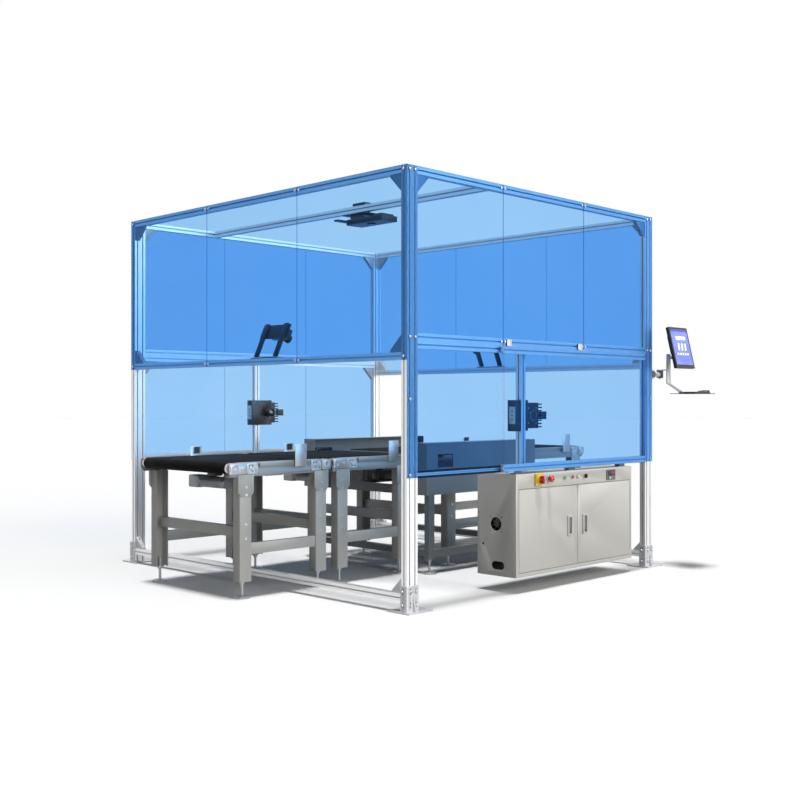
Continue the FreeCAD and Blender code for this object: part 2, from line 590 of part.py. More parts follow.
# cameras over the infeed and outfeed openings, each on two arms that lean into the cell
for x, y, z, ang, s in ((20.0, 1174.0, 1340.0, 24.0, 1), (L - 20.0, 1361.0, 1340.0, -24.0, -1)):
    t = 6.0
    cb.append(box(x - 18.0, y - 120.0, z, 36.0, 240.0, 6.0))
    for yy in (-108.0, 68.0):
        cb.append(tilted(x, y, z + 10.0, 8.0, 40.0, 215.0, ang, -4.0, yy, 0.0))
    cb.append(tilted(x, y, z + 10.0, 5.0, 250.0, 90.0, ang, (4.2 if s > 0 else -9.2), -125.0, 120.0))
    cc.append(tilted(x, y, z + 10.0, 60.0, 150.0, 60.0, ang, (9.4 if s > 0 else -69.4), -75.0, 140.0))
    cf.append(tilted(x, y, z + 10.0, 44.0, 56.0, 50.0, ang, (9.4 if s > 0 else -53.4), 80.0, 145.0))
    cl.append(tilted_cyl(x, y, z + 10.0, ang, (69.6 if s > 0 else -119.6), 0.0, 170.0, 26.0, 50.0))
# top camera under the cross beam, held by a saddle over the beam
cb += [box(656.0, 1000.0, 2300.0, 54.0, 110.0, 18.0), box(696.0, 1000.0, 2242.0, 6.0, 110.0, 58.0),
       box(590.0, 930.0, 2234.0, 130.0, 200.0, 8.0), box(600.0, 950.0, 2206.0, 100.0, 120.0, 27.8),
       box(510.0, 1082.2, 2192.0, 190.0, 40.0, 10.0)]
cc.append(box(578.0, 770.0, 2172.0, 130.0, 312.0, 33.8))
cf += [box(590.0, 786.0, 2206.0, 104.0, 60.0, 12.0), box(600.0, 1082.2, 2176.0, 90.0, 24.0, 15.8)]
cl.append(cyl(643.0, 926.0, 2166.0, 27.0, 5.8, "z"))
# side cameras on the columns, looking across the belt
for near in (True, False):
    def yy(a, b):
        return (a, b - a) if near else (W - b, b - a)
    def bxy(x, y0, y1, z, lx, lz):
        y, w = yy(y0, y1)
        return box(x, y, z, lx, w, lz)
    cb.append(bxy(940.0, 45.0, 95.0, 915.0, 45.8, 180.0))
    y, w = yy(90.0, 110.0)
    cb.append(cut(bxy(940.0, 95.2, 103.2, 915.0, 180.0, 180.0), cyl(1085.0, y, 1005.0, 30.0, w, "y")))
    cc.append(bxy(1040.0, 45.0, 95.0, 930.0, 120.0, 150.0))
    for i in range(8):
        cf.append(bxy(1160.4, 50.0, 90.0, 934.0 + 19.0 * i, 34.0, 8.0))
    cf.append(bxy(1196.0, 55.0, 85.0, 982.0, 52.0, 46.0))
    y, w = yy(95.2, 150.0)
    cl.append(cyl(1085.0, y, 1005.0, 28.0, w, "y"))
# camera under the scan window between the transfer and outfeed conveyors
cb.append(box(1060.0, 1300.0, 556.0, 204.0, 170.0, 6.0))
cb += [box(1064.0, 1300.0, 562.2, 6.0, 60.0, 60.0), box(1254.0, 1300.0, 562.2, 6.0, 60.0, 60.0)]
cc.append(box(1110.0, 1320.0, 562.2, 100.0, 136.0, 64.0))
cl.append(cyl(1160.0, 1388.0, 626.4, 27.0, 50.0, "z"))
cb.append(box(1000.0 + 3.2, 1340.0, 548.0, 1093.0, 90.0, 7.8))
node("camera_brackets", *cb)
node("camera_bodies", *(cc + cf))
node("camera_lenses", *cl)

# ------------------------------------------------------------- control cabinet
X0, Y0, Z0 = P["cab_x"], P["cab_y"], P["cab_z"]
CL, CD, CH, T = P["cab_len"], P["cab_dep"], P["cab_ht"], P["cab_t"]
shell = cut(box("cab_x", "cab_y", "cab_z", "cab_len", "cab_dep", "cab_ht"),
            box("cab_x+cab_t", "cab_y+cab_t", "cab_z+cab_t", "cab_len-2*cab_t", "cab_dep-2*cab_t", "cab_ht-2*cab_t"),
            box(877.0, Y0 - 5.0, 112.0, 1129.0, 12.0, 477.0),
            cyl(X0 - 5.0, 116.0, 386.0, 39.0, 12.0, "x"), cyl(X0 - 5.0, 211.0, 266.0, 7.0, 12.0, "x"),
            box(X0 - 5.0, 78.0, 127.0, 12.0, 46.0, 46.0), cyl(X0 - 5.0, 78.0, 150.0, 23.0, 12.0, "x"),
            cyl(X0 - 5.0, 124.0, 150.0, 23.0, 12.0, "x"),
            *[cyl(cx, Y0 - 5.0, 637.0, r, 12.0, "y") for cx, r in
              ((1053.0, 6.2), (1155.0, 8.2), (1307.0, 8.2), (1384.0, 8.2), (1441.0, 8.2), (1510.0, 8.2))],
            box(1746.0, Y0 - 5.0, 602.0, 88.0, 12.0, 58.0))
node("cabinet_shell", shell)
hang = [box(cx, 2.0, 675.2, 60.0, 36.0, 14.6) for cx in (880.0, 1400.0, 1936.0)]
piv = []
for hx in (886.5, 1996.5):
    piv += [cyl(hx, -23.5, 111.8, 2.5, 12.0, "z"), cyl(hx, -23.5, 577.2, 2.5, 12.0, "z")]
node("cabinet_frame", *(hang + piv), box(852.2, -27.8, 92.2, 24.6, 16.0, 580.0), box(2006.2, -27.8, 92.2, 17.6, 16.0, 580.0),
     box(877.0, -27.8, 92.2, 1129.0, 16.0, 19.6), box(877.0, -27.8, 589.2, 1129.0, 16.0, 10.0),
     box(877.0, 240.0, 130.0, 1129.0, 8.0, 430.0))


def cab_door(x, ln, hinge_x, hole_x):
    outer = box(x, "cab_y", "cdoor_z+3", ln, "cdoor_t", "cdoor_ht-3")
    inner = box(x + 14.0, Y0 + 1.5, 129.0, ln - 28.0, 20.0, 443.0)
    pins = [cyl(hinge_x, -23.5, 110.0, 2.55, 16.0, "z"), cyl(hinge_x, -23.5, 576.0, 2.55, 16.0, "z")]
    slot = box(hole_x, Y0 - 1.0, 300.0, 24.0, 5.0, 96.0)
    return cut(outer, inner, slot, *pins)


for side, hx, sheet_x, sheet_l, pivot in (("left", 1336.0, 880.0, 558.0, 886.5), ("right", 1490.0, 1441.0, 562.0, 1996.5)):
    frm = fillet(box(hx, -38.0, 287.0, 50.0, 7.8, 122.0), 6.0, lambda ed: abs(ed.BoundBox.YLength - 7.8) < 0.01)
    node("cabinet_%s_door" % side, cab_door(sheet_x, sheet_l, pivot, hx + 13.0),
         cut(frm, box(hx + 12.5, -39.0, 299.0, 25.0, 10.0, 98.0), cyl(hx + 8.0, -34.0, 391.0, 1.55, 34.0, "x")))
    lev = cut(fuse(box(hx + 14.0, -37.0, 301.0, 22.0, 7.0, 94.0), cyl(hx + 9.0, -34.0, 391.0, 1.5, 32.0, "x")),
              box(hx + 17.0, -35.5, 306.0, 16.0, 8.0, 60.0))
    node(side + "_handle_lever", lev)

# fan, its guard and hub
ring = cut(cyl(853.0, 116.0, 386.0, 52.0, 26.0, "x"), cyl(852.0, 116.0, 386.0, 46.0, 28.0, "x"))
fanb = [ring]
bar1 = box(874.0, 112.0, 341.0, 4.0, 8.0, 90.0)
bar2 = box(874.0, 71.0, 382.0, 4.0, 90.0, 8.0)
hubp = cyl(872.0, 116.0, 386.0, 18.0, 6.0, "x")
ring2 = fuse(ring, bar1, bar2, hubp, cyl(858.0, 116.0, 386.0, 3.0, 16.0, "x"))
node("fan_frame", ring2)
hub = cut(cyl(857.0, 116.0, 386.0, 17.0, 14.0, "x"), cyl(856.0, 116.0, 386.0, 3.05, 17.0, "x"))
blades = [hub]
for i in range(7):
    b = box(860.0, 0.0, 0.0, 2.0, 14.0, 28.0)
    a = i * 360.0 / 7.0
    r = FreeCAD.Rotation(V(1, 0, 0), a) * FreeCAD.Rotation(V(0, 0, 1), 35.0)
    off = FreeCAD.Rotation(V(1, 0, 0), a).multVec(V(4.0, -6.0, 15.5))
    b.Placement = FreeCAD.Placement(V(860.0, 116.0, 386.0) + off, r)
    blades.append(b)
node("fan_rotor", fuse(*blades))

# controls on the strip above the doors
def knob(x, z, pts):
    """Turned piece whose profile runs out of the cabinet's face along -Y from Y=-30."""
    return spin(pts, (x, -30.0, z), "-y")


plates_c = [cut(fillet(box(1018.0, -44.0, 602.0, 70.0, 13.8, 70.0), 5.0, lambda ed: abs(ed.BoundBox.YLength - 13.8) < 0.01),
                         cyl(1053.0, -46.0, 637.0, 6.1, 20.0, "y"))]
node("main_switch_knob", fuse(knob(1053.0, 637.0, [(0, -6), (6.0, -6), (6.0, 14.4), (28, 14.4), (28, 20), (25, 26), (0, 26)]),
                              box(1044.0, -78.0, 611.0, 18.0, 23.0, 52.0)))
rings = []
for cx, ri, ro, t in ((1155.0, 8.1, 22.0, 8.0), (1307.0, 8.1, 15.0, 7.0), (1384.0, 8.1, 15.0, 7.0), (1441.0, 8.1, 15.0, 7.0), (1510.0, 8.1, 15.0, 7.0)):
    rings.append(cut(cyl(cx, -30.2 - t, 637.0, ro, t, "y"), cyl(cx, -50.0, 637.0, ri, 30.0, "y")))
node("control_bezels", *(plates_c + rings))
node("emergency_stop_button", knob(1155.0, 637.0, [(0, -10), (8.0, -10), (8.0, 14), (14, 16), (20, 20), (20, 30), (17, 34), (0, 34)]))
for nm, cx in (("start_button", 1307.0), ("stop_button", 1384.0), ("reset_button", 1441.0)):
    node(nm, knob(cx, 637.0, [(0, -10), (8.0, -10), (8.0, 12), (7, 13), (0, 13)]))
node("selector_knob", fuse(knob(1510.0, 637.0, [(0, -10), (8.0, -10), (8.0, 7.7), (13, 7.7), (13, 12), (0, 12)]),
                           box(1507.0, -54.0, 625.0, 6.0, 13.0, 24.0)))
node("panel_meter", fuse(box(1742.0, -37.0, 598.0, 96.0, 6.8, 66.0), box(1747.0, -30.4, 603.0, 86.0, 60.0, 56.0)))

# ------------------------------------------------------------- monitor station
AX, AY = L + 36.0, 20.0             # post-side swivel
BX = 2450.0                         # swivel at the arm's outer end
mount = fuse(box(L + 0.2, 0.0, 1222.0, 8.0, 40.0, 75.0), box(L + 0.2, 8.0, 1236.0, 36.0, 24.0, 9.0),
             box(L + 0.2, 8.0, 1288.0, 36.0, 24.0, 9.0), cyl(AX, AY, 1236.0, 15.0, 9.0), cyl(AX, AY, 1288.0, 15.0, 9.0))
node("arm_mount", cut(mount, cyl(AX, AY, 1230.0, 6.05, 80.0)))
node("monitor_arm", cut(fuse(cyl(AX, AY, 1246.0, 21.0, 41.0), cyl(AX, AY, "arm_z", "arm_dia/2", BX - AX, "x"),
                             cyl(BX, AY, 1244.0, 22.0, 48.0), cyl(AX, AY, 1236.0, 6.0, 61.0)),
                        cyl(BX, AY, 1230.0, 8.05, 80.0)))
# bracket: swivel pin, neck, upright strap, and the strap bent down and forward to the tray
SA = 32.0                           # slope of the lower strap below the level
TY = -40.5 - 112.0 * math.cos(math.radians(SA))
TZ = 1207.0 - 112.0 * math.sin(math.radians(SA))
strap = box(0.0, 0.0, 0.0, 40.0, 112.0, 6.0)
strap.Placement = FreeCAD.Placement(V(BX + 20.0, -40.5, 1207.0), FreeCAD.Rotation(V(0, 0, 1), 180.0) * FreeCAD.Rotation(V(1, 0, 0), -SA))
strap = cut(strap, box(BX - 9.2, TY - 14.0, TZ - 14.0, 18.4, 27.0, 34.0))
ear = [cyl(BX - 20.0, TY, TZ + 2.0, 7.0, 10.8, "x"), cyl(BX + 9.2, TY, TZ + 2.0, 7.0, 10.8, "x")]
MY, MZ = -102.0, 1378.0             # tilt axis of the monitor
lug = [box(BX - 20.0, MY, MZ - 10.0, 8.0, -45.0 - MY, 20.0), box(BX + 12.0, MY, MZ - 10.0, 8.0, -45.0 - MY, 20.0),
       cyl(BX - 20.0, MY, MZ, 10.0, 8.0, "x"), cyl(BX + 12.0, MY, MZ, 10.0, 8.0, "x")]
body = fuse(cyl(BX, AY, 1236.0, 8.0, 64.0), cyl(BX, AY, 1292.4, 22.0, 8.0), box(BX - 16.0, -41.0, 1292.4, 32.0, 61.0, 8.0),
            box(BX - 20.0, -50.0, 1204.0, 40.0, 10.0, 198.0), strap, *(ear + lug))
node("monitor_bracket", cut(body, cyl(BX - 30.0, TY, TZ + 2.0, 3.05, 60.0, "x"), cyl(BX - 30.0, MY, MZ, 4.05, 60.0, "x")))
# monitor, leaning back; built upright about its tilt axis and then turned
LEAN = 13.5


def leaned(obj):
    obj.Placement = FreeCAD.Placement(V(0, MY, MZ), FreeCAD.Rotation(V(1, 0, 0), -LEAN)) \
        .multiply(FreeCAD.Placement(V(0, -MY, -MZ), FreeCAD.Rotation())).multiply(obj.Placement)
    return obj


FY, BZ = MY - 36.0, MZ - 81.0       # front face and lower edge before leaning
case = fuse(fillet(box("mon_x", FY, BZ, "mon_w", 24.0, "mon_h"), 5.0, lambda ed: abs(ed.BoundBox.YLength - 24.0) < 0.01),
            box(2412.0, FY + 23.9, BZ + 105.0, 150.0, 26.0, 122.0),
            box(BX - 11.6, FY + 23.0, MZ - 10.0, 23.2, 14.0, 22.1), cyl(BX - 11.6, MY, MZ, 9.0, 23.2, "x"))
case = cut(case, box(2384.0, FY - 1.0, BZ + 23.0, 206.0, 2.5, 243.0))
node("monitor_case", leaned(fuse(case, cyl(BX - 20.0, MY, MZ, 4.0, 40.0, "x"))))
node("monitor_screen", leaned(box(2384.2, FY - 0.2, BZ + 23.2, 205.6, 1.6, 242.6)))
# keyboard tray and what lies on it
tz = TZ - 8.0
tray = fuse(fillet(box(2332.0, -315.0, tz - 4.0, 250.0, 190.0, 4.0), 12.0, lambda ed: abs(ed.BoundBox.ZLength - 4.0) < 0.01),
            box(BX - 8.4, TY - 5.0, tz - 1.0, 16.8, 10.0, 8.0), cyl(BX - 8.4, TY, TZ + 2.0, 6.0, 16.8, "x"),
            cyl(BX - 20.0, TY, TZ + 2.0, 3.0, 40.0, "x"))
node("keyboard_tray", tray)
kb = fillet(box(2338.0, -309.0, tz, 176.0, 98.0, 8.0), 2.5, lambda ed: ed.BoundBox.ZLength < 0.01)
keys = [box(2344.0 + 13.7 * i, -303.0 + 17.6 * j, tz + 7.5, 11.6, 14.6, 3.0) for j in range(5) for i in range(12)]
ms = fillet(box(2522.0, -292.0, tz, 54.0, 100.0, 25.0), 11.0, lambda ed: ed.BoundBox.ZMax > tz + 24.0)
node("keyboard_and_mouse", fuse(kb, *keys), ms)

# ------------------------------------------------------------------ write out
doc.recompute()
bad = [o.Name for o in doc.Objects if "Invalid" in o.State or "Error" in o.State]
if bad:
    raise SystemExit("failed objects: %s" % bad)
os.makedirs("parts", exist_ok=True)
lo, hi = [1e9] * 3, [-1e9] * 3
for n in NODES:
    sh = n.Shape
    if sh.isNull() or not sh.isValid() or not sh.Solids:
        raise SystemExit("bad shape: " + n.Label)
    sh.exportStep("parts/%s.step" % n.Label)
    bb = sh.BoundBox
    lo = [min(a, b) for a, b in zip(lo, (bb.XMin, bb.YMin, bb.ZMin))]
    hi = [max(a, b) for a, b in zip(hi, (bb.XMax, bb.YMax, bb.ZMax))]
print("nodes", len(NODES), "solids", sum(len(n.Shape.Solids) for n in NODES))
print("box", [round(v, 3) for v in lo], [round(v, 3) for v in hi])
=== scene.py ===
import math

import bmesh
import bpy
from mathutils import Matrix, Vector


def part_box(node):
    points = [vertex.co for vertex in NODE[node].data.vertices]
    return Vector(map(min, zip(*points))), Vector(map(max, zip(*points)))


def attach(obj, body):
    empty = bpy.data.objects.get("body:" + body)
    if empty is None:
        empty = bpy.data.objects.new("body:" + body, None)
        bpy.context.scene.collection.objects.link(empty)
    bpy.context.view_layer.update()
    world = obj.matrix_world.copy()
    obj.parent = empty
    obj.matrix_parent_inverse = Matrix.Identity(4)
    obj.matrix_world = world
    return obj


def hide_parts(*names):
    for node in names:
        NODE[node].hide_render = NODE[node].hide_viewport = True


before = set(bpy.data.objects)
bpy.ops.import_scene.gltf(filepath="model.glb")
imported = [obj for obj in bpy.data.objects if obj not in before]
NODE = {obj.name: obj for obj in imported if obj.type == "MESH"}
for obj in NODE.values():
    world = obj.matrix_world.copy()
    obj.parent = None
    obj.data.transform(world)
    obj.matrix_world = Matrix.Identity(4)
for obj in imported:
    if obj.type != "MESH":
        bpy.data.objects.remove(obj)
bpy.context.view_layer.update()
scene = bpy.context.scene

# machine millimetres (from the outer floor corner of the near post) to the row frame
OX, OY = -1232.0, -1183.5
RAW = Matrix.Scale(0.001, 4) @ Matrix.Translation((OX, OY, 0.0))


def at(x, y, z):
    return RAW @ Vector((x, y, z))


# ----------------------------------------------------------------- camera
cam = bpy.data.objects.new("camera", bpy.data.cameras.new("camera"))
scene.collection.objects.link(cam)
cam.data.sensor_width = 36.0
cam.data.lens = 49.58
cam.data.clip_end = 200.0
cam.location = at(-4025.66, -3920.60, 1087.02)
yaw, pitch = math.radians(45.4047), math.radians(0.075)
look = Vector((math.sin(yaw) * math.cos(pitch), math.cos(yaw) * math.cos(pitch), math.sin(pitch)))
cam.rotation_euler = look.to_track_quat("-Z", "Y").to_euler()
scene.camera = cam

# ----------------------------------------------------------------- light
scene.view_settings.view_transform = "Standard"
scene.cycles.max_bounces = 24
scene.cycles.transparent_max_bounces = 48
scene.cycles.transmission_bounces = 16
scene.cycles.diffuse_bounces = 4
scene.cycles.glossy_bounces = 5

world = bpy.data.worlds.new("studio")
scene.world = world
world.use_nodes = True
wn = world.node_tree
wn.nodes.clear()
w_out = wn.nodes.new("ShaderNodeOutputWorld")
lp = wn.nodes.new("ShaderNodeLightPath")
tc = wn.nodes.new("ShaderNodeTexCoord")
sep = wn.nodes.new("ShaderNodeSeparateXYZ")
wn.links.new(tc.outputs["Generated"], sep.inputs[0])
ramp = wn.nodes.new("ShaderNodeValToRGB")
ramp.color_ramp.elements[0].position = 0.30
ramp.color_ramp.elements[0].color = (0.80, 0.80, 0.81, 1)
ramp.color_ramp.elements[1].position = 0.85
ramp.color_ramp.elements[1].color = (1.0, 1.0, 1.0, 1)
mr = wn.nodes.new("ShaderNodeMapRange")
mr.inputs["From Min"].default_value = -1.0
mr.inputs["From Max"].default_value = 1.0
wn.links.new(sep.outputs[2], mr.inputs["Value"])
wn.links.new(mr.outputs[0], ramp.inputs[0])
b_gloss = wn.nodes.new("ShaderNodeBackground")
wn.links.new(ramp.outputs[0], b_gloss.inputs[0])
b_gloss.inputs[1].default_value = 1.0
b_diff = wn.nodes.new("ShaderNodeBackground")
b_diff.inputs[0].default_value = (0.97, 0.985, 1.0, 1)
b_diff.inputs[1].default_value = 0.10
b_cam = wn.nodes.new("ShaderNodeBackground")
b_cam.inputs[0].default_value = (1, 1, 1, 1)
b_cam.inputs[1].default_value = 1.0
m1 = wn.nodes.new("ShaderNodeMixShader")
wn.links.new(lp.outputs["Is Glossy Ray"], m1.inputs[0])
wn.links.new(b_diff.outputs[0], m1.inputs[1])
wn.links.new(b_gloss.outputs[0], m1.inputs[2])
m2 = wn.nodes.new("ShaderNodeMixShader")
wn.links.new(lp.outputs["Is Camera Ray"], m2.inputs[0])
wn.links.new(m1.outputs[0], m2.inputs[1])
wn.links.new(b_cam.outputs[0], m2.inputs[2])
wn.links.new(m2.outputs[0], w_out.inputs[0])

sun = bpy.data.objects.new("key_light", bpy.data.lights.new("key_light", "SUN"))
scene.collection.objects.link(sun)
sun.data.energy = 3.05
sun.data.angle = math.radians(9.0)
sun.rotation_euler = Vector((0.05, 0.03, -1.0)).to_track_quat("-Z", "Y").to_euler()
fill = bpy.data.objects.new("front_fill", bpy.data.lights.new("front_fill", "SUN"))
scene.collection.objects.link(fill)
fill.data.energy = 2.95
fill.data.angle = math.radians(70.0)
fill.data.color = (1.0, 0.99, 0.97)
fill.rotation_euler = Vector((-0.10, 0.95, -0.16)).to_track_quat("-Z", "Y").to_euler()


# -------------------------------------------------------------- materials
def links(m):
    return m.node_tree.links


def shader(name):
    m = bpy.data.materials.new(name)
    m.use_nodes = True
    return m, m.node_tree.nodes, m.node_tree.links, m.node_tree.nodes["Principled BSDF"]


def rgb(*c):
    """sRGB 0..255 to a linear colour."""
    def lin(v):
        v /= 255.0
        return v / 12.92 if v <= 0.04045 else ((v + 0.055) / 1.055) ** 2.4
    return (lin(c[0]), lin(c[1]), lin(c[2]), 1.0)


def mix_rgb(N, Lk, fac, a, b, blend="MIX"):
    n = N.new("ShaderNodeMix")
    n.data_type = "RGBA"
    n.blend_type = blend
    for sock, v in ((n.inputs[0], fac), (n.inputs[6], a), (n.inputs[7], b)):
        if hasattr(v, "links"):
            Lk.new(v, sock)
        else:
            sock.default_value = v
    return n.outputs[2]


def coords(N, Lk, scale=(1, 1, 1)):
    t = N.new("ShaderNodeTexCoord")
    mp = N.new("ShaderNodeMapping")
    mp.inputs["Scale"].default_value = scale
    Lk.new(t.outputs["Object"], mp.inputs["Vector"])
    return mp.outputs[0]


def noise(N, Lk, vec, scale, detail=3.0, rough=0.55):
    n = N.new("ShaderNodeTexNoise")
    n.inputs["Scale"].default_value = scale
    n.inputs["Detail"].default_value = detail
    n.inputs["Roughness"].default_value = rough
    Lk.new(vec, n.inputs["Vector"])
    return n.outputs["Fac"]


def remap(N, Lk, val, lo, hi, a=0.3, b=0.7):
    n = N.new("ShaderNodeMapRange")
    n.inputs["From Min"].default_value = a
    n.inputs["From Max"].default_value = b
    n.inputs["To Min"].default_value = lo
    n.inputs["To Max"].default_value = hi
    Lk.new(val, n.inputs["Value"])
    return n.outputs[0]


def math_n(N, Lk, op, a, b=0.0, clamp=False):
    n = N.new("ShaderNodeMath")
    n.operation = op
    n.use_clamp = clamp
    for sock, v in ((n.inputs[0], a), (n.inputs[1], b)):
        if hasattr(v, "links"):
            Lk.new(v, sock)
        else:
            sock.default_value = v
    return n.outputs[0]


def finish_mat(name, col, vary=0.06, rough=0.45, rvar=0.08, metal=0.0, big=3.0, grain=900.0, bump=0.12, depth=0.0002,
               wear=0.0, wear_col=None, coat=0.0, spec=0.5, stretch=(1, 1, 1), edge=0.0, spots=0.0, dust=0.0):
    """Painted, moulded or bare surface: slow colour drift, fine grain in bump and roughness, optional worn edges and dust."""
    m, N, Lk, P = shader(name)
    v = coords(N, Lk)
    slow = noise(N, Lk, v, big, 4.0, 0.6)
    dark = tuple(c * (1 - vary) for c in col[:3]) + (1,)
    light = tuple(min(1, c * (1 + vary)) for c in col[:3]) + (1,)
    base = mix_rgb(N, Lk, remap(N, Lk, slow, 0, 1), dark, light)
    gv = coords(N, Lk, stretch)
    fine = noise(N, Lk, gv, grain, 2.0, 0.5)
    base = mix_rgb(N, Lk, remap(N, Lk, fine, 0.0, 0.5), base, tuple(c * (1 - vary * 1.6) for c in col[:3]) + (1,))
    if dust:
        geo = N.new("ShaderNodeNewGeometry")
        sp = N.new("ShaderNodeSeparateXYZ")
        Lk.new(geo.outputs["Normal"], sp.inputs[0])
        up = remap(N, Lk, sp.outputs[2], 0, dust, 0.6, 1.0)
        patch = math_n(N, Lk, "MULTIPLY", up, remap(N, Lk, noise(N, Lk, v, 14.0, 5.0), 0.4, 1.0))
        base = mix_rgb(N, Lk, patch, base, (0.55, 0.53, 0.50, 1))
    if wear:
        bv = N.new("ShaderNodeBevel")
        bv.samples = 4
        bv.inputs["Radius"].default_value = 0.0022
        geo2 = N.new("ShaderNodeNewGeometry")
        dot = N.new("ShaderNodeVectorMath")
        dot.operation = "DOT_PRODUCT"
        Lk.new(bv.outputs[0], dot.inputs[0])
        Lk.new(geo2.outputs["Normal"], dot.inputs[1])
        e = remap(N, Lk, dot.outputs["Value"], 1.0, 0.0, 0.80, 0.99)
        rub = remap(N, Lk, noise(N, Lk, v, 40.0, 5.0, 0.7), 0.0, 1.0, 0.42, 0.62)
        e = math_n(N, Lk, "MULTIPLY", math_n(N, Lk, "MULTIPLY", e, rub), wear, True)
        base = mix_rgb(N, Lk, e, base, wear_col or tuple(min(1, c * 1.6 + 0.08) for c in col[:3]) + (1,))
    Lk.new(base, P.inputs["Base Color"])
    Lk.new(remap(N, Lk, noise(N, Lk, v, big * 5.0, 4.0), rough - rvar, rough + rvar), P.inputs["Roughness"])
    P.inputs["Metallic"].default_value = metal
    P.inputs["Specular IOR Level"].default_value = spec
    P.inputs["Coat Weight"].default_value = coat
    P.inputs["Coat Roughness"].default_value = 0.15
    if bump:
        b = N.new("ShaderNodeBump")
        b.inputs["Strength"].default_value = bump
        b.inputs["Distance"].default_value = depth
        Lk.new(fine, b.inputs["Height"])
        Lk.new(b.outputs[0], P.inputs["Normal"])
    return m


def aluminium(name, mode, tone=0.93):
    """Anodised extrusion: satin, with drawing lines along its length, and painted shade darkening its slots and inner
    corners; mode picks the direction by place.
    """
    m, N, Lk, P = shader(name)
    t = N.new("ShaderNodeTexCoord")
    s = N.new("ShaderNodeSeparateXYZ")
    Lk.new(t.outputs["Object"], s.inputs[0])

    def vec(k):
        c = N.new("ShaderNodeCombineXYZ")
        for i in range(3):
            Lk.new(math_n(N, Lk, "MULTIPLY", s.outputs[i], 3.0 if i == k else 420.0), c.inputs[i])
        return c.outputs[0]

    if mode in ("x", "y", "z"):
        v = vec("xyz".index(mode))
    else:
        if mode == "xy":        # long rails on the front and back faces, cross rails between
            g = math_n(N, Lk, "GREATER_THAN", math_n(N, Lk, "ABSOLUTE", s.outputs[1]), 1.255)
            a, b = vec(1), vec(0)
        else:                   # "zy": beam up high, columns below
            g = math_n(N, Lk, "GREATER_THAN", s.outputs[2], 2.0)
            a, b = vec(2), vec(1)
        mx = N.new("ShaderNodeMix")
        mx.data_type = "VECTOR"
        Lk.new(g, mx.inputs[0])
        Lk.new(a, mx.inputs[4])
        Lk.new(b, mx.inputs[5])
        v = mx.outputs[1]
    lines = noise(N, Lk, v, 1.0, 3.0, 0.6)
    slow = noise(N, Lk, coords(N, Lk), 5.0, 4.0, 0.6)
    c = mix_rgb(N, Lk, remap(N, Lk, lines, 0, 1), (tone * 0.93, tone * 0.935, tone * 0.945, 1), (tone, tone, tone * 1.005, 1))
    c = mix_rgb(N, Lk, remap(N, Lk, slow, 0.0, 0.22), c, (tone * 0.88, tone * 0.885, tone * 0.90, 1))
    # painted shade: a short ambient-occlusion mask pulls the colour towards near-black in the slots and inner corners
    painted_slot_shade = N.new("ShaderNodeAmbientOcclusion")
    painted_slot_shade.samples = 4
    painted_slot_shade.only_local = True
    painted_slot_shade.inputs["Distance"].default_value = 0.011
    c = mix_rgb(N, Lk, remap(N, Lk, painted_slot_shade.outputs["AO"], 0.78, 0.0, 0.22, 0.80), c, (0.20, 0.20, 0.205, 1))
    Lk.new(c, P.inputs["Base Color"])
    P.inputs["Metallic"].default_value = 0.78
    P.inputs["Specular IOR Level"].default_value = 0.5
    Lk.new(remap(N, Lk, lines, 0.30, 0.44), P.inputs["Roughness"])
    b = N.new("ShaderNodeBump")
    b.inputs["Strength"].default_value = 0.10
    b.inputs["Distance"].default_value = 0.0001
    Lk.new(lines, b.inputs["Height"])
    Lk.new(b.outputs[0], P.inputs["Normal"])
    return m


TINT = (0.585, 0.800, 1.0, 1)


def tinted(name, axis):
    """Blue clear sheet: each face lets light through tinted and mirrors a little; cut edges glow deeper."""
    m, N, Lk, P = shader(name)
    P.inputs["Base Color"].default_value = (0.02, 0.12, 0.45, 1)
    P.inputs["IOR"].default_value = 1.49
    out = N["Material Output"]
    v = coords(N, Lk)
    smear = noise(N, Lk, v, 2.2, 5.0, 0.6)
    Lk.new(remap(N, Lk, smear, 0.015, 0.05), P.inputs["Roughness"])
    tr = N.new("ShaderNodeBsdfTransparent")
    c = mix_rgb(N, Lk, remap(N, Lk, noise(N, Lk, v, 1.1, 3.0), 0.0, 1.0), (TINT[0] * 0.985, TINT[1] * 0.99, 0.995, 1),
                (TINT[0] * 1.015, TINT[1] * 1.008, 1.0, 1))
    Lk.new(c, tr.inputs[0])
    lw = N.new("ShaderNodeLayerWeight")
    lw.inputs["Blend"].default_value = 0.5
    fr = math_n(N, Lk, "ADD", 0.045, math_n(N, Lk, "MULTIPLY", 0.90, math_n(N, Lk, "POWER", lw.outputs["Facing"], 4.6)), True)
    geo = N.new("ShaderNodeNewGeometry")
    sp = N.new("ShaderNodeSeparateXYZ")
    Lk.new(geo.outputs["Normal"], sp.inputs[0])
    flat = math_n(N, Lk, "ABSOLUTE", sp.outputs["xyz".index(axis)])
    edge = math_n(N, Lk, "LESS_THAN", flat, 0.5)
    mx = N.new("ShaderNodeMixShader")
    Lk.new(fr, mx.inputs[0])
    Lk.new(tr.outputs[0], mx.inputs[1])
    Lk.new(P.outputs[0], mx.inputs[2])
    rim = N.new("ShaderNodeBsdfPrincipled")
    rim.inputs["Base Color"].default_value = rgb(40, 110, 230)
    rim.inputs["Roughness"].default_value = 0.35
    mx2 = N.new("ShaderNodeMixShader")
    Lk.new(math_n(N, Lk, "MULTIPLY", edge, 0.30), mx2.inputs[0])
    Lk.new(mx.outputs[0], mx2.inputs[1])
    Lk.new(rim.outputs[0], mx2.inputs[2])
    Lk.new(mx2.outputs[0], out.inputs["Surface"])
    return m


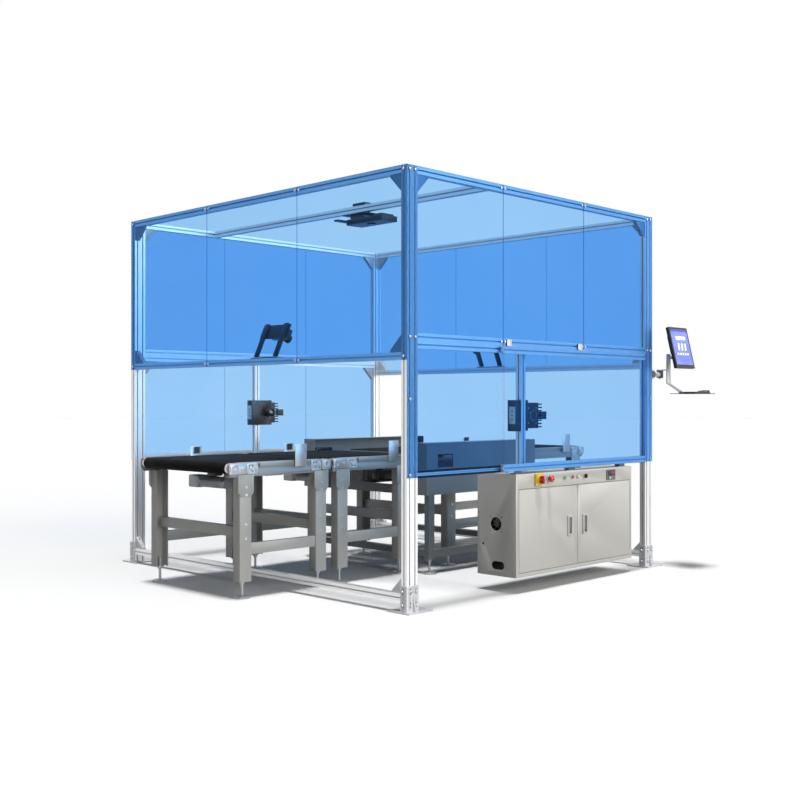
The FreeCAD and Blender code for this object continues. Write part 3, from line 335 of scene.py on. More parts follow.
MAT = {}
MAT["alu_z"] = aluminium("alu_posts", "z")
MAT["alu_xy"] = aluminium("alu_rails", "xy")
MAT["alu_x"] = aluminium("alu_door_rails", "x", 0.92)
MAT["alu_y"] = aluminium("alu_floor_rails", "y")
MAT["alu_zy"] = aluminium("alu_supports", "zy")
MAT["cast"] = finish_mat("cast_aluminium", (0.62, 0.63, 0.65, 1), 0.05, 0.48, metal=0.35, grain=1400, bump=0.35, depth=0.0003)
MAT["foot"] = finish_mat("foot_steel", (0.42, 0.43, 0.45, 1), 0.10, 0.36, metal=0.6, grain=700, bump=0.2, wear=0.4)
MAT["blue_front"] = tinted("blue_sheet_front", "y")
MAT["blue_end"] = tinted("blue_sheet_end", "x")
MAT["paint"] = finish_mat("conveyor_paint", rgb(184, 184, 180), 0.05, 0.42, 0.06, grain=1100, bump=0.30, depth=0.0003, wear=0.5,
                          dust=0.10, coat=0.05)
MAT["frame_paint"] = finish_mat("side_channel_paint", rgb(160, 163, 165), 0.06, 0.36, 0.07, metal=0.25, grain=900, bump=0.22, wear=0.5,
                                dust=0.08)
MAT["belt"] = finish_mat("belt_rubber", (0.011, 0.011, 0.012, 1), 0.25, 0.70, 0.08, grain=1500, bump=0.5, depth=0.0004, spec=0.03,
                         dust=0.006)
MAT["steel"] = finish_mat("turned_steel", (0.62, 0.63, 0.64, 1), 0.06, 0.27, 0.06, metal=1.0, grain=500, bump=0.10, stretch=(1, 8, 1))
MAT["zinc"] = finish_mat("zinc_screws", (0.66, 0.67, 0.69, 1), 0.08, 0.30, 0.08, metal=0.9, grain=1600, bump=0.15)
MAT["plate"] = finish_mat("machined_plate", (0.55, 0.56, 0.58, 1), 0.07, 0.33, 0.07, metal=0.75, grain=650, bump=0.15, wear=0.5)
MAT["black_pl"] = finish_mat("black_plastic", (0.020, 0.020, 0.022, 1), 0.2, 0.42, 0.08, grain=1800, bump=0.35, depth=0.0002)
MAT["black_met"] = finish_mat("black_anodised", (0.070, 0.073, 0.080, 1), 0.15, 0.34, 0.08, metal=0.5, grain=1300, bump=0.25, wear=0.35,
                              wear_col=(0.25, 0.25, 0.27, 1))
MAT["housing"] = finish_mat("housing_paint", rgb(140, 147, 150), 0.05, 0.40, 0.06, grain=1100, bump=0.3, depth=0.0003, wear=0.4)
MAT["cab"] = finish_mat("cabinet_paint", rgb(203, 202, 197), 0.025, 0.44, 0.05, grain=1500, bump=0.45, depth=0.00035, wear=0.25,
                        wear_col=(0.80, 0.80, 0.78, 1))
MAT["white_pl"] = finish_mat("white_plastic", (0.80, 0.80, 0.79, 1), 0.03, 0.35, 0.05, grain=1500, bump=0.15)
MAT["grey_pl"] = finish_mat("grey_plastic", rgb(120, 122, 124), 0.06, 0.42, 0.06, grain=1500, bump=0.25)
MAT["dark_pl"] = finish_mat("dark_grey_plastic", rgb(58, 60, 64), 0.10, 0.45, 0.06, grain=1500, bump=0.25)
MAT["red"] = finish_mat("red_plastic", rgb(214, 20, 28), 0.06, 0.28, 0.05, grain=1600, bump=0.12, coat=0.3)
MAT["yellow"] = finish_mat("yellow_plastic", rgb(226, 196, 22), 0.05, 0.32, 0.05, grain=1600, bump=0.15, coat=0.2)
MAT["green"] = finish_mat("green_lens", rgb(38, 178, 52), 0.06, 0.20, 0.04, grain=1200, bump=0.1, coat=0.5)
MAT["ring"] = finish_mat("bezel_metal", (0.45, 0.46, 0.47, 1), 0.06, 0.28, 0.05, metal=0.9, grain=900, bump=0.1)
MAT["motor"] = finish_mat("motor_cast", rgb(150, 152, 156), 0.08, 0.38, 0.08, metal=0.6, grain=900, bump=0.35, depth=0.0004, wear=0.4)
# rubber_pad_and_slot_shade also serves for thin dark strips that stand for slot openings, which is painted shade
MAT["rubber_and_slot_shade"] = finish_mat("rubber_pad_and_slot_shade", (0.03, 0.03, 0.03, 1), 0.2, 0.7, 0.08, grain=1200, bump=0.4)


def lens_glass(name):
    m, N, Lk, P = shader(name)
    v = coords(N, Lk)
    Lk.new(mix_rgb(N, Lk, remap(N, Lk, noise(N, Lk, v, 30.0), 0, 1), (0.010, 0.012, 0.030, 1), (0.030, 0.020, 0.060, 1)), P.inputs["Base Color"])
    Lk.new(remap(N, Lk, noise(N, Lk, v, 60.0), 0.02, 0.08), P.inputs["Roughness"])
    P.inputs["Coat Weight"].default_value = 1.0
    P.inputs["Coat Roughness"].default_value = 0.03
    P.inputs["Specular IOR Level"].default_value = 0.9
    return m


def glow(name, a, b, strength, rough=0.25):
    """Lit display or lens: colour drifts from a to b, and gives off a little light of its own."""
    m, N, Lk, P = shader(name)
    v = coords(N, Lk)
    c = mix_rgb(N, Lk, remap(N, Lk, noise(N, Lk, v, 6.0, 2.0), 0, 1), a, b)
    c = mix_rgb(N, Lk, remap(N, Lk, noise(N, Lk, v, 2600.0, 1.0), 0.0, 0.12), c, (0.02, 0.02, 0.03, 1))
    Lk.new(c, P.inputs["Base Color"])
    Lk.new(c, P.inputs["Emission Color"])
    P.inputs["Emission Strength"].default_value = strength
    Lk.new(remap(N, Lk, noise(N, Lk, v, 25.0), rough - 0.05, rough + 0.05), P.inputs["Roughness"])
    P.inputs["Coat Weight"].default_value = 0.4
    P.inputs["Coat Roughness"].default_value = 0.08
    return m


MAT["lens"] = lens_glass("lens_glass")
MAT["screen"] = glow("screen_face", rgb(96, 112, 214), rgb(128, 142, 232), 0.55)
MAT["screen_w"] = glow("screen_blocks", rgb(236, 240, 255), rgb(220, 228, 252), 0.75)
MAT["screen_b"] = glow("screen_bar", rgb(52, 70, 170), rgb(62, 80, 186), 0.4)
MAT["window"] = lens_glass("scanner_glass")
MAT["led"] = glow("light_bar_leds", (0.9, 0.95, 1.0, 1), (0.8, 0.9, 1.0, 1), 0.6)
MAT["meter_red"] = glow("meter_digits", rgb(235, 60, 40), rgb(215, 45, 30), 0.8)


def black_rail(name):
    """Lower long rails: the front one is black with a bright centre line, the back one is plain."""
    m = aluminium(name, "x")
    N, Lk = m.node_tree.nodes, m.node_tree.links
    P = N["Principled BSDF"]
    old = P.inputs["Base Color"].links[0].from_socket
    t = N.new("ShaderNodeTexCoord")
    s = N.new("ShaderNodeSeparateXYZ")
    Lk.new(t.outputs["Object"], s.inputs[0])
    front = math_n(N, Lk, "LESS_THAN", s.outputs[1], 0.0)
    off = math_n(N, Lk, "ABSOLUTE", math_n(N, Lk, "SUBTRACT", s.outputs[2], 0.710))
    band = math_n(N, Lk, "GREATER_THAN", off, 0.0075)
    Lk.new(mix_rgb(N, Lk, math_n(N, Lk, "MULTIPLY", front, band), old, (0.018, 0.018, 0.020, 1)), P.inputs["Base Color"])
    return m


MAT["low_rail"] = black_rail("alu_lower_rails")


# ------------------------------------------------------------ mesh builder
class Build:
    """Collects beveled solids in machine millimetres and turns them into one piece."""

    def __init__(self, name):
        self.name, self.bm, self.mats = name, bmesh.new(), []

    def _take(self, bm, mat, xf=None):
        if xf is not None:
            bm.transform(xf)
        if mat not in self.mats:
            self.mats.append(mat)
        k = self.mats.index(mat)
        for f in bm.faces:
            f.material_index = k
        me = bpy.data.meshes.new("tmp")
        bm.to_mesh(me)
        bm.free()
        self.bm.from_mesh(me)
        bpy.data.meshes.remove(me)
        return self

    def box(self, x0, x1, y0, y1, z0, z1, mat, bev=1.0, seg=2, xf=None, pick=None):
        bm = bmesh.new()
        bmesh.ops.create_cube(bm, size=1.0)
        bm.transform(Matrix.Translation(((x0 + x1) / 2, (y0 + y1) / 2, (z0 + z1) / 2)) @ Matrix.Diagonal((x1 - x0, y1 - y0, z1 - z0, 1)))
        if bev:
            ed = [e for e in bm.edges if pick is None or pick(e)]
            bmesh.ops.bevel(bm, geom=ed, offset=bev, segments=seg, profile=0.5, affect="EDGES", clamp_overlap=True)
        return self._take(bm, mat, xf)

    def lathe(self, prof, pos, direction, mat, seg=40, xf=None, hexes=()):
        """prof: (radius, height) pairs along direction from pos; hexes: indices whose ring is a hexagon."""
        bm = bmesh.new()
        rings = []
        for i, (r, h) in enumerate(prof):
            if r < 1e-6:
                rings.append([bm.verts.new((0, 0, h))])
                continue
            ring = []
            for k in range(seg):
                a = 2 * math.pi * k / seg
                rr = r
                if i in hexes:
                    rr = r * math.cos(math.pi / 6) / math.cos((a + math.pi / 6) % (math.pi / 3) - math.pi / 6)
                ring.append(bm.verts.new((rr * math.cos(a), rr * math.sin(a), h)))
            rings.append(ring)
        for a, b in zip(rings, rings[1:]):
            for k in range(seg):
                q = (k + 1) % seg
                if len(a) == 1 and len(b) == 1:
                    continue
                if len(a) == 1:
                    bm.faces.new((a[0], b[k], b[q]))
                elif len(b) == 1:
                    bm.faces.new((a[k], a[q], b[0]))
                else:
                    bm.faces.new((a[k], a[q], b[q], b[k]))
        if len(rings[0]) > 1 and prof[0] != prof[-1]:
            bm.faces.new(rings[0][::-1])
        if len(rings[-1]) > 1 and prof[0] != prof[-1]:
            bm.faces.new(rings[-1])
        if prof[0] == prof[-1]:
            bmesh.ops.remove_doubles(bm, verts=bm.verts, dist=1e-5)
        bmesh.ops.recalc_face_normals(bm, faces=bm.faces)
        rot = Vector((0, 0, 1)).rotation_difference(Vector(direction)).to_matrix().to_4x4()
        m = Matrix.Translation(pos) @ rot
        return self._take(bm, mat, (xf @ m) if xf is not None else m)

    def cyl(self, pos, direction, r, h, mat, bev=0.6, seg=36, xf=None):
        return self.lathe([(r - bev, 0), (r, bev), (r, h - bev), (r - bev, h)], pos, direction, mat, seg, xf)

    def prism(self, pts, plane, lo, hi, mat, bev=0.0, seg=2, xf=None):
        """Outline pts in a plane ('xz', 'yz' or 'xy') carried from lo to hi along the third axis."""
        bm = bmesh.new()

        def p3(a, b, c):
            return {"xz": (a, c, b), "yz": (c, a, b), "xy": (a, b, c)}[plane]
        low = [bm.verts.new(p3(a, b, lo)) for a, b in pts]
        high = [bm.verts.new(p3(a, b, hi)) for a, b in pts]
        bm.faces.new(low)
        bm.faces.new(high[::-1])
        for i in range(len(pts)):
            q = (i + 1) % len(pts)
            bm.faces.new((low[i], high[i], high[q], low[q]))
        bmesh.ops.recalc_face_normals(bm, faces=bm.faces)
        if bev:
            bmesh.ops.bevel(bm, geom=list(bm.edges), offset=bev, segments=seg, profile=0.5, affect="EDGES", clamp_overlap=True)
        return self._take(bm, mat, xf)

    def done(self, body="root", replaces=(), smooth=35.0):
        self.bm.transform(RAW)
        me = bpy.data.meshes.new(self.name)
        self.bm.to_mesh(me)
        self.bm.free()
        for p in me.polygons:
            p.use_smooth = True
        me.set_sharp_from_angle(angle=math.radians(smooth))
        for mt in self.mats:
            me.materials.append(MAT[mt] if isinstance(mt, str) else mt)
        ob = bpy.data.objects.new(self.name, me)
        scene.collection.objects.link(ob)
        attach(ob, body)
        if replaces:
            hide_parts(*replaces)
        return ob


def islands(node):
    """Boxes, in machine millimetres, of the separate solids of a CAD node."""
    bm = bmesh.new()
    bm.from_mesh(NODE[node].data)
    bmesh.ops.remove_doubles(bm, verts=bm.verts, dist=2e-6)
    seen, out = set(), []
    for v in bm.verts:
        if v.index in seen:
            continue
        seen.add(v.index)
        stack, pts = [v], []
        while stack:
            w = stack.pop()
            pts.append(w.co.copy())
            for e in w.link_edges:
                o = e.other_vert(w)
                if o.index not in seen:
                    seen.add(o.index)
                    stack.append(o)
        lo = Vector([min(p[i] for p in pts) for i in range(3)]) * 1000
        hi = Vector([max(p[i] for p in pts) for i in range(3)]) * 1000
        off = Vector((OX, OY, 0))
        out.append((lo - off, hi - off))
    bm.free()
    return out


def refine(node, width, mat, body="root", seg=2, angle=28.0):
    """A copy of a CAD node with real rounded edges, standing for it."""
    src = NODE[node]
    bm = bmesh.new()
    bm.from_mesh(src.data)
    bmesh.ops.remove_doubles(bm, verts=bm.verts, dist=2e-6)
    bmesh.ops.dissolve_limit(bm, angle_limit=math.radians(0.6), verts=bm.verts, edges=bm.edges)
    me = bpy.data.meshes.new(node + "_body")
    bm.to_mesh(me)
    bm.free()
    ob = bpy.data.objects.new(node + "_body", me)
    scene.collection.objects.link(ob)
    md = ob.modifiers.new("edges", "BEVEL")
    md.width = width
    md.segments = seg
    md.limit_method = "ANGLE"
    md.angle_limit = math.radians(angle)
    md.use_clamp_overlap = True
    md.harden_normals = False
    bpy.context.view_layer.update()
    dg = bpy.context.evaluated_depsgraph_get()
    new = bpy.data.meshes.new_from_object(ob.evaluated_get(dg))
    ob.modifiers.clear()
    ob.data = new
    bpy.data.meshes.remove(me)
    new.name = node + "_body"
    for p in new.polygons:
        p.use_smooth = True
    new.set_sharp_from_angle(angle=math.radians(40))
    new.materials.clear()
    new.materials.append(MAT[mat])
    lo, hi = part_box(node)
    co = [v.co for v in new.vertices]
    for i in range(3):
        if min(c[i] for c in co) < lo[i] - 2e-4 or max(c[i] for c in co) > hi[i] + 2e-4:
            print("refine kept CAD for", node)
            bpy.data.objects.remove(ob)
            dress(node, mat)
            return None
    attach(ob, body)
    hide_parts(node)
    return ob


def dress(node, mat):
    ob = NODE[node]
    m = MAT[mat] if isinstance(mat, str) else mat
    if ob.material_slots:
        for s in ob.material_slots:
            s.link = "OBJECT"
            s.material = m
    else:
        ob.data.materials.append(m)
    return ob


# --------------------------------------------------------- frame and panels
dress("corner_posts", "alu_z")
dress("top_rails", "alu_xy")
dress("mid_rails", "alu_xy")
dress("lower_long_rails", "low_rail")
dress("floor_cross_rails", "alu_y")
dress("camera_support_bars", "alu_zy")
dress("door_rails", "alu_x")
for n, mt in (("front_panels", "blue_front"), ("back_panels", "blue_front"), ("door_panel", "blue_front"), ("end_panels", "blue_end")):
    dress(n, mt)
refine("corner_gussets", 0.0010, "cast")
refine("post_feet", 0.0008, "cast")
refine("door_guides", 0.0005, "cast")

b = Build("panel_screws")
c0 = Vector((1157.0, 1296.0, 0))
for lo, hi in islands("frame_screws"):
    d = hi - lo
    k = min(range(3), key=lambda i: d[i])
    mid = (lo + hi) / 2
    sgn = 1 if mid[k] > c0[k] and not (k == 0 and 2210.0 < mid[0] < 2230.0) else -1
    p = mid.copy()
    p[k] = lo[k] if sgn > 0 else hi[k]
    n = [0, 0, 0]
    n[k] = sgn
    R, H = sorted(d)[2] / 2, d[k]
    b.lathe([(R, 0), (R, H * 0.30), (R * 0.96, H * 0.55), (R * 0.82, H * 0.82), (R * 0.62, H), (R * 0.44, H), (R * 0.40, H * 0.9),
             (R * 0.40, H * 0.25), (0, H * 0.2)], p, n, "zinc", 24, hexes=(5, 6, 7))
b.done(replaces=["frame_screws"])

# ------------------------------------------------------------- conveyors
for n, w, mt in (("conveyor_frames", 0.0009, "frame_paint"), ("conveyor_legs", 0.0010, "paint"), ("leg_braces", 0.0012, "paint"),
                 ("roller_end_plates", 0.0008, "plate"), ("sensor_brackets", 0.0006, "plate")):
    refine(n, w, mt)
b = Build("hex_bolts")
for lo, hi in islands("conveyor_bolts"):
    sgn = 1 if lo.y > 1388 else -1
    d = hi - lo
    R, H = d.x / 2, d.y
    p = ((lo.x + hi.x) / 2, lo.y if sgn > 0 else hi.y, (lo.z + hi.z) / 2)
    b.lathe([(R, 0), (R, H * 0.16), (R * 0.97, H * 0.20), (R * 0.86, H * 0.21), (R * 0.86, H * 0.88), (R * 0.74, H), (0, H)],
            p, (0, sgn, 0), "zinc", 24, hexes=(3, 4))
b.done(replaces=["conveyor_bolts"])

MODS = [("infeed", -420.0, 324.0, -298.0, 254.0), ("transfer", 334.0, 1078.0, 426.0, 940.0), ("outfeed", 1246.0, 2884.0, 1400.0, 2790.0)]
ZR, RB, RC = 719.6, 30.0, 35.0
b = Build("belts")
for nm, x0, x1, la, lb in MODS:
    bm = bmesh.new()
    prof = []
    for k in range(25):
        a = math.pi / 2 + math.pi * k / 24
        prof.append((x0 + RC, ZR, math.cos(a), math.sin(a)))
    for k in range(25):
        a = -math.pi / 2 + math.pi * k / 24
        prof.append((x1 - RC, ZR, math.cos(a), math.sin(a)))
    sect = [(988.0, 0.25), (988.0, 2.05), (988.4, 2.28), (1787.6, 2.28), (1788.0, 2.05), (1788.0, 0.25), (1787.6, 0.0), (988.4, 0.0)]
    rows = []
    for cx, cz, ux, uz in prof:
        rows.append([bm.verts.new((cx + ux * (RB + r), y, cz + uz * (RB + r))) for y, r in sect])
    for i in range(len(rows)):
        a, c = rows[i], rows[(i + 1) % len(rows)]
        for k in range(8):
            q = (k + 1) % 8
            bm.faces.new((a[k], a[q], c[q], c[k]))
    bmesh.ops.recalc_face_normals(bm, faces=bm.faces)
    b._take(bm, "belt")
b.done(replaces=["conveyor_belts"])

for nm, x0, x1, la, lb in MODS:
    for end, rc in (("tail", x0 + RC), ("drive", x1 - RC)):
        body = "%s_%s_roller" % (nm, end)
        b = Build(body + "_turned")
        b.lathe([(0, 0), (8.6, 0), (10, 1.2), (10, 30), (13.2, 30), (14, 30.8), (14, 36.2), (28.4, 36.2), (29.7, 37.6), (29.7, 870.4),
                 (28.4, 871.8), (14, 871.8), (14, 877.2), (13.2, 878), (10, 878), (10, 906.8), (8.6, 908), (0, 908)],
                (rc, 934.0, ZR), (0, 1, 0), "steel", 48)
        # sealed bearing faces
        for y, s in ((969.8, -1), (1806.2, 1)):
            b.lathe([(15.2, 0), (15.2, 1.2), (25.5, 1.2), (26.4, 0.2), (26.4, 0), (15.2, 0)], (rc, y, ZR), (0, s, 0), "white_pl", 40)
        b.done(body=body, replaces=[body])

dress("levelling_feet", "foot")
dress("carton_sensors", "dark_pl")

b = Build("drive_units")
for nm, x0, x1, la, lb in MODS:
    mx = (x0 + x1) / 2
    b.box(mx - 42, mx + 42, 1700, 1800, 560, 636, "motor", 8, 4)
    b.lathe([(0, 0), (30, 0), (34, 3), (36, 8), (36, 40), (35, 42), (35, 210), (36, 212), (36, 246), (33, 250), (0, 250)],
            (mx, 1450, 598), (0, 1, 0), "motor", 48)
    for k in range(18):
        b.lathe([(35.2, 0), (35.9, 0.4), (35.9, 1.8), (35.2, 2.2), (35.2, 0)], (mx, 1496 + 9.0 * k, 598), (0, 1, 0), "motor", 40)
    b.box(mx - 30, mx + 30, 1540, 1620, 636, 662, "black_pl", 3, 3)
    b.box(mx - 60, mx + 60, 1010, 1766, 664, 672, "frame_paint", 1, 2)
    for sx in (-1, 1):
        for sz in (572, 624):
            b.lathe([(5, 0), (5, 0.6), (4.4, 0.6), (4.4, 2.8), (3.8, 3.2), (0, 3.2)], (mx + sx * 30, 1700, sz), (0, -1, 0), "zinc", 18, hexes=(2, 3, 4))
b.done(replaces=["gear_motors"])

# -------------------------------------------------------- scanner housing
refine("scanner_housing", 0.0010, "housing")
dress("scanner_windows", "window")
dress("scan_light_bars", "led")

# ------------------------------------------------------------------ cameras
refine("camera_brackets", 0.0006, "black_met")
W = 2592.0


def tilt(x, y, z, ang):
    return Matrix.Translation((x, y, z)) @ Matrix.Rotation(math.radians(ang), 4, "Y")


def fins(b, x0, x1, y0, y1, z0, n, step, mt, xf=None):
    for i in range(n):
        b.box(x0, x1, y0, y1, z0 + step * i, z0 + step * i + 8.0, mt, 1.2, 2, xf)


b = Build("camera_cases")
for x, y, z, ang, sg in ((20.0, 1174.0, 1350.0, 24.0, 1), (2294.0, 1361.0, 1350.0, -24.0, -1)):
    T = tilt(x, y, z, ang)
    a0, a1 = (9.4, 69.4) if sg > 0 else (-69.4, -9.4)
    c0x, c1x = (9.4, 53.4) if sg > 0 else (-53.4, -9.4)
    b.box(a0, a1, -75, 75, 140, 200, "black_met", 3.0, 4, T)
    b.box(c0x, c1x, 80, 136, 145, 195, "black_met", 3.0, 3, T)
    for k in range(6):
        b.box(a0 + 8 + 8.0 * k, a0 + 12 + 8.0 * k, -70, 70, 199.4, 200.0, "rubber_and_slot_shade", 0.1, 1, T)
    for yy in (-60, 60):
        b.cyl((a1 if sg > 0 else a0, yy, 170), (sg, 0, 0), 3.4, 0.4, "zinc", 0.1, 18, T)
b.box(578, 708, 770, 1082, 2172, 2205.8, "black_met", 2.5, 4)
b.box(590, 694, 786, 846, 2206, 2218, "black_met", 2.0, 3)
b.box(600, 690, 1082.2, 1106.2, 2176, 2191.8, "black_met", 1.5, 3)
for k in range(14):
    b.box(577.95, 578.2, 800 + 19.0 * k, 810 + 19.0 * k, 2180, 2198, "rubber_and_slot_shade", 0.05, 1)
for near in (True, False):
    def yb(a, c):
        return (a, c) if near else (W - c, W - a)
    y0, y1 = yb(47.6, 95.0)
    b.box(1040, 1160, y0, y1, 930, 1080, "black_met", 4.0, 4)
    y0, y1 = yb(50, 90)
    fins(b, 1160.1, 1194.4, y0, y1, 934, 8, 19.0, "black_met")
    y0, y1 = yb(55, 85)
    b.box(1194.0, 1248.0, y0, y1, 982, 1028, "black_met", 3.0, 3)
    y0, y1 = yb(48.5, 92)
    b.box(1062, 1138, y0, y1, 1079.6, 1080.0, "rubber_and_slot_shade", 0.1, 1)
    yr = 47.6 if near else W - 47.6
    dr = (0, -1, 0) if near else (0, 1, 0)
    b.lathe([(21, -0.5), (30, -0.5), (30, 1.6), (29.2, 2.5), (25.0, 2.5), (24.0, 1.8), (22.0, 0.4), (0, 0.4)], (1108, yr, 1005), dr, "black_met", 56)
    b.lathe([(29.0, 1.4), (30.0, 1.4), (30.0, 2.4), (29.2, 2.6), (28.4, 2.5), (28.4, 1.4), (29.0, 1.4)], (1108, yr, 1005), dr, "steel", 56)
    for q in range(4):
        a = math.pi / 4 + q * math.pi / 2
        b.lathe([(3.4, 0), (3.4, 0.6), (2.6, 1.1), (1.5, 1.1), (1.5, 0.5), (0, 0.5)], (1100 + 50 * math.cos(a), yr, 1005 + 62 * math.sin(a)), dr, "zinc", 16, hexes=(3, 4))
b.box(1110, 1210, 1320, 1456, 562.2, 626.2, "black_met", 3.0, 4)
for k in range(8):
    b.box(1109.95, 1110.2, 1332 + 15.0 * k, 1339 + 15.0 * k, 572, 616, "rubber_and_slot_shade", 0.05, 1)
b.done(replaces=["camera_bodies"])

b = Build("side_camera_mounts")
for y0, y1 in ((47.0, 93.0), (W - 93.0, W - 47.0)):
    b.box(939.75, 941.0, y0, y1, 957, 1057, "plate", 0.4, 2)
    for z in (984, 1007, 1030):
        b.lathe([(4.6, 0), (4.6, 0.12), (0, 0.12)], (939.8, (y0 + y1) / 2, z), (-1, 0, 0), "black_pl", 20)
b.done()


def barrel(b, pos, d, r, h, xf=None):
    """Ribbed lens barrel with a focus ring and a front glass."""
    if h < 10:
        b.lathe([(0, 0), (r, 0), (r, h - 1.2), (r - 1.0, h), (r - 4.0, h), (r - 4.6, h - 2.0), (0, h - 2.0)], pos, d, "black_pl", 56, xf)
        b.lathe([(0, h - 2.1), (r - 5.0, h - 2.1), (r - 6.0, h - 1.0), (0, h - 0.6)], pos, d, "lens", 48, xf)
        return
    prof = [(0, 0), (r - 2.2, 0), (r - 1.6, 0.6), (r - 1.6, 8.0), (r - 0.2, 9.0)]
    t = 10.0
    while t < h - 22:
        prof += [(r, t), (r, t + 1.6), (r - 0.8, t + 2.0), (r - 0.8, t + 2.8)]
        t += 3.2
    prof += [(r - 1.4, h - 20), (r - 1.4, h - 17), (r, h - 16), (r, h - 1.2), (r - 1.0, h), (r - 3.6, h), (r - 5.0, h - 7.0), (0, h - 7.0)]
    b.lathe(prof, pos, d, "black_pl", 56, xf)
    b.lathe([(r - 3.6, h - 0.25), (r - 1.6, h - 0.25), (r - 1.6, h + 0.0), (r - 3.6, h + 0.0), (r - 3.6, h - 0.25)], pos, d, "steel", 56, xf)
    g = [(0, h - 7.2), (r - 5.4, h - 7.2)]
    for k in range(7):
        a = math.pi / 2 * k / 6
        g.append(((r - 5.6) * math.cos(a), h - 6.8 + 4.0 * math.sin(a)))
    b.lathe(g, pos, d, "lens", 48, xf)


b = Build("camera_optics")
for x, y, z, ang, sg in ((20.0, 1174.0, 1350.0, 24.0, 1), (2294.0, 1361.0, 1350.0, -24.0, -1)):
    T = tilt(x, y, z, ang)
    barrel(b, ((69.6 if sg > 0 else -69.6), 0.0, 170.0), (sg, 0, 0), 26.0, 50.0, T)
barrel(b, (643.0, 926.0, 2171.8), (0, 0, -1), 27.0, 5.8)
barrel(b, (1085.0, 95.2, 1005.0), (0, 1, 0), 28.0, 54.8)
barrel(b, (1085.0, W - 95.2, 1005.0), (0, -1, 0), 28.0, 54.8)
barrel(b, (1160.0, 1388.0, 626.4), (0, 0, 1), 27.0, 50.0)
b.done(replaces=["camera_lenses"])

# ------------------------------------------------------------------ cabinet
refine("cabinet_shell", 0.0014, "cab")
dress("cabinet_frame", "grey_pl")
refine("cabinet_left_door", 0.0012, "cab", body="left_door")
refine("cabinet_right_door", 0.0012, "cab", body="right_door")
dress("fan_frame", "black_pl")
dress("fan_rotor", "black_pl")

# ------------------------------------------------------------------ monitor
refine("arm_mount", 0.0006, "plate")
refine("monitor_bracket", 0.0007, "plate", body="bracket")
# ------------------------------------------------- controls in the strip
CZ, CY = 637.0, -30.0
b = Build("switch_plates")
b.box(1018, 1088, -44, -30.2, 602, 672, "yellow", 3.0, 4, pick=lambda e: abs((e.verts[0].co - e.verts[1].co).y) > 5)
for sx in (-1, 1):
    for sz in (-1, 1):
        b.lathe([(4.2, 0), (4.2, 0.7), (3.4, 1.3), (2.0, 1.3), (2.0, 0.5), (0, 0.5)], (1053 + 28 * sx, -44, CZ + 28 * sz), (0, -1, 0), "zinc", 20,
                hexes=(3, 4))
b.lathe([(29, 0), (29, 2.4), (28, 3.2), (25.5, 3.2), (25.2, 0.6), (0, 0.6)], (1053, -44, CZ), (0, -1, 0), "yellow", 56)
for cx, ro, t in ((1155.0, 22.0, 8.0), (1307.0, 15.0, 7.0), (1384.0, 15.0, 7.0), (1441.0, 15.0, 7.0), (1510.0, 15.0, 7.0)):
    b.lathe([(8.2, 0), (ro, 0), (ro, t * 0.35), (ro - 0.6, t * 0.45), (ro - 0.8, t * 0.8), (ro - 2.2, t), (11.2, t), (10.6, t - 1.2), (8.2, t - 1.4),
             (8.2, 0)], (cx, -30.2, CZ), (0, -1, 0), "ring", 56)
b.done(replaces=["control_bezels"])

b = Build("main_switch_handle")
b.lathe([(0, -6), (5.6, -6), (6.0, -5.4), (6.0, 14.6), (26.5, 14.6), (27.6, 15.4), (27.6, 19.6), (26.2, 21.2), (24.6, 21.6), (0, 21.6)],
        (1053, CY, CZ), (0, -1, 0), "yellow", 56)
for k in range(20):
    a = 2 * math.pi * k / 20
    b.lathe([(0, 14.8), (1.3, 14.8), (1.3, 19.8), (0.8, 20.4), (0, 20.4)], (1053 + 26.4 * math.cos(a), CY, CZ + 26.4 * math.sin(a)), (0, -1, 0), "black_pl", 12)
b.lathe([(0, 21.4), (19.0, 21.4), (19.0, 22.6), (18.4, 23.0), (0, 23.0)], (1053, CY, CZ), (0, -1, 0), "black_pl", 48)
for ang in (0, 90):
    T = Matrix.Translation((1053, 0, CZ)) @ Matrix.Rotation(math.radians(ang), 4, "Y") @ Matrix.Translation((-1053, 0, -CZ))
    b.box(1046.8, 1059.2, -77.6 if ang == 0 else -62.0, -52.4, 614.0 if ang == 0 else 618.0, 660.0 if ang == 0 else 656.0, "red", 4.0, 5, T)
b.box(1051.8, 1054.2, -78.0, -76.5, 642, 658, "white_pl", 0.4, 2)
b.done(body="main_switch", replaces=["main_switch_knob"])

b = Build("emergency_stop_mushroom")
b.lathe([(0, -10), (7.6, -10), (8.0, -9.4), (8.0, 13.6), (12.6, 14.6), (18.4, 18.2), (19.7, 20.6), (20.0, 23.5), (19.2, 27.6), (17.0, 31.2),
         (13.2, 33.2), (8.0, 34.0), (0, 34.0)], (1155, CY, CZ), (0, -1, 0), "red", 64)
for k in range(3):              # raised turn arrows, plain shapes
    a0 = 2 * math.pi * k / 3
    pts = []
    for q in range(9):
        a = a0 + math.radians(60) * q / 8
        pts.append((12.4 * math.cos(a), 12.4 * math.sin(a)))
    for q in range(8, -1, -1):
        a = a0 + math.radians(60) * q / 8
        pts.append((9.6 * math.cos(a), 9.6 * math.sin(a)))
    b.prism([(1155 + u, CZ + v) for u, v in pts], "xz", -64.0, -62.6, "white_pl", 0.15, 1)
b.done(body="emergency_stop", replaces=["emergency_stop_button"])

for nm, cx, mt in (("start_button", 1307.0, "green"), ("stop_button", 1384.0, "red"), ("reset_button", 1441.0, "white_pl")):
    b = Build(nm + "_cap")
    b.lathe([(0, -10), (7.6, -10), (8.0, -9.4), (8.0, 10.6), (7.7, 11.8), (6.6, 12.5), (3.6, 12.95), (0, 13.0)], (cx, CY, CZ), (0, -1, 0), mt, 48)
    b.done(body=nm, replaces=[nm])

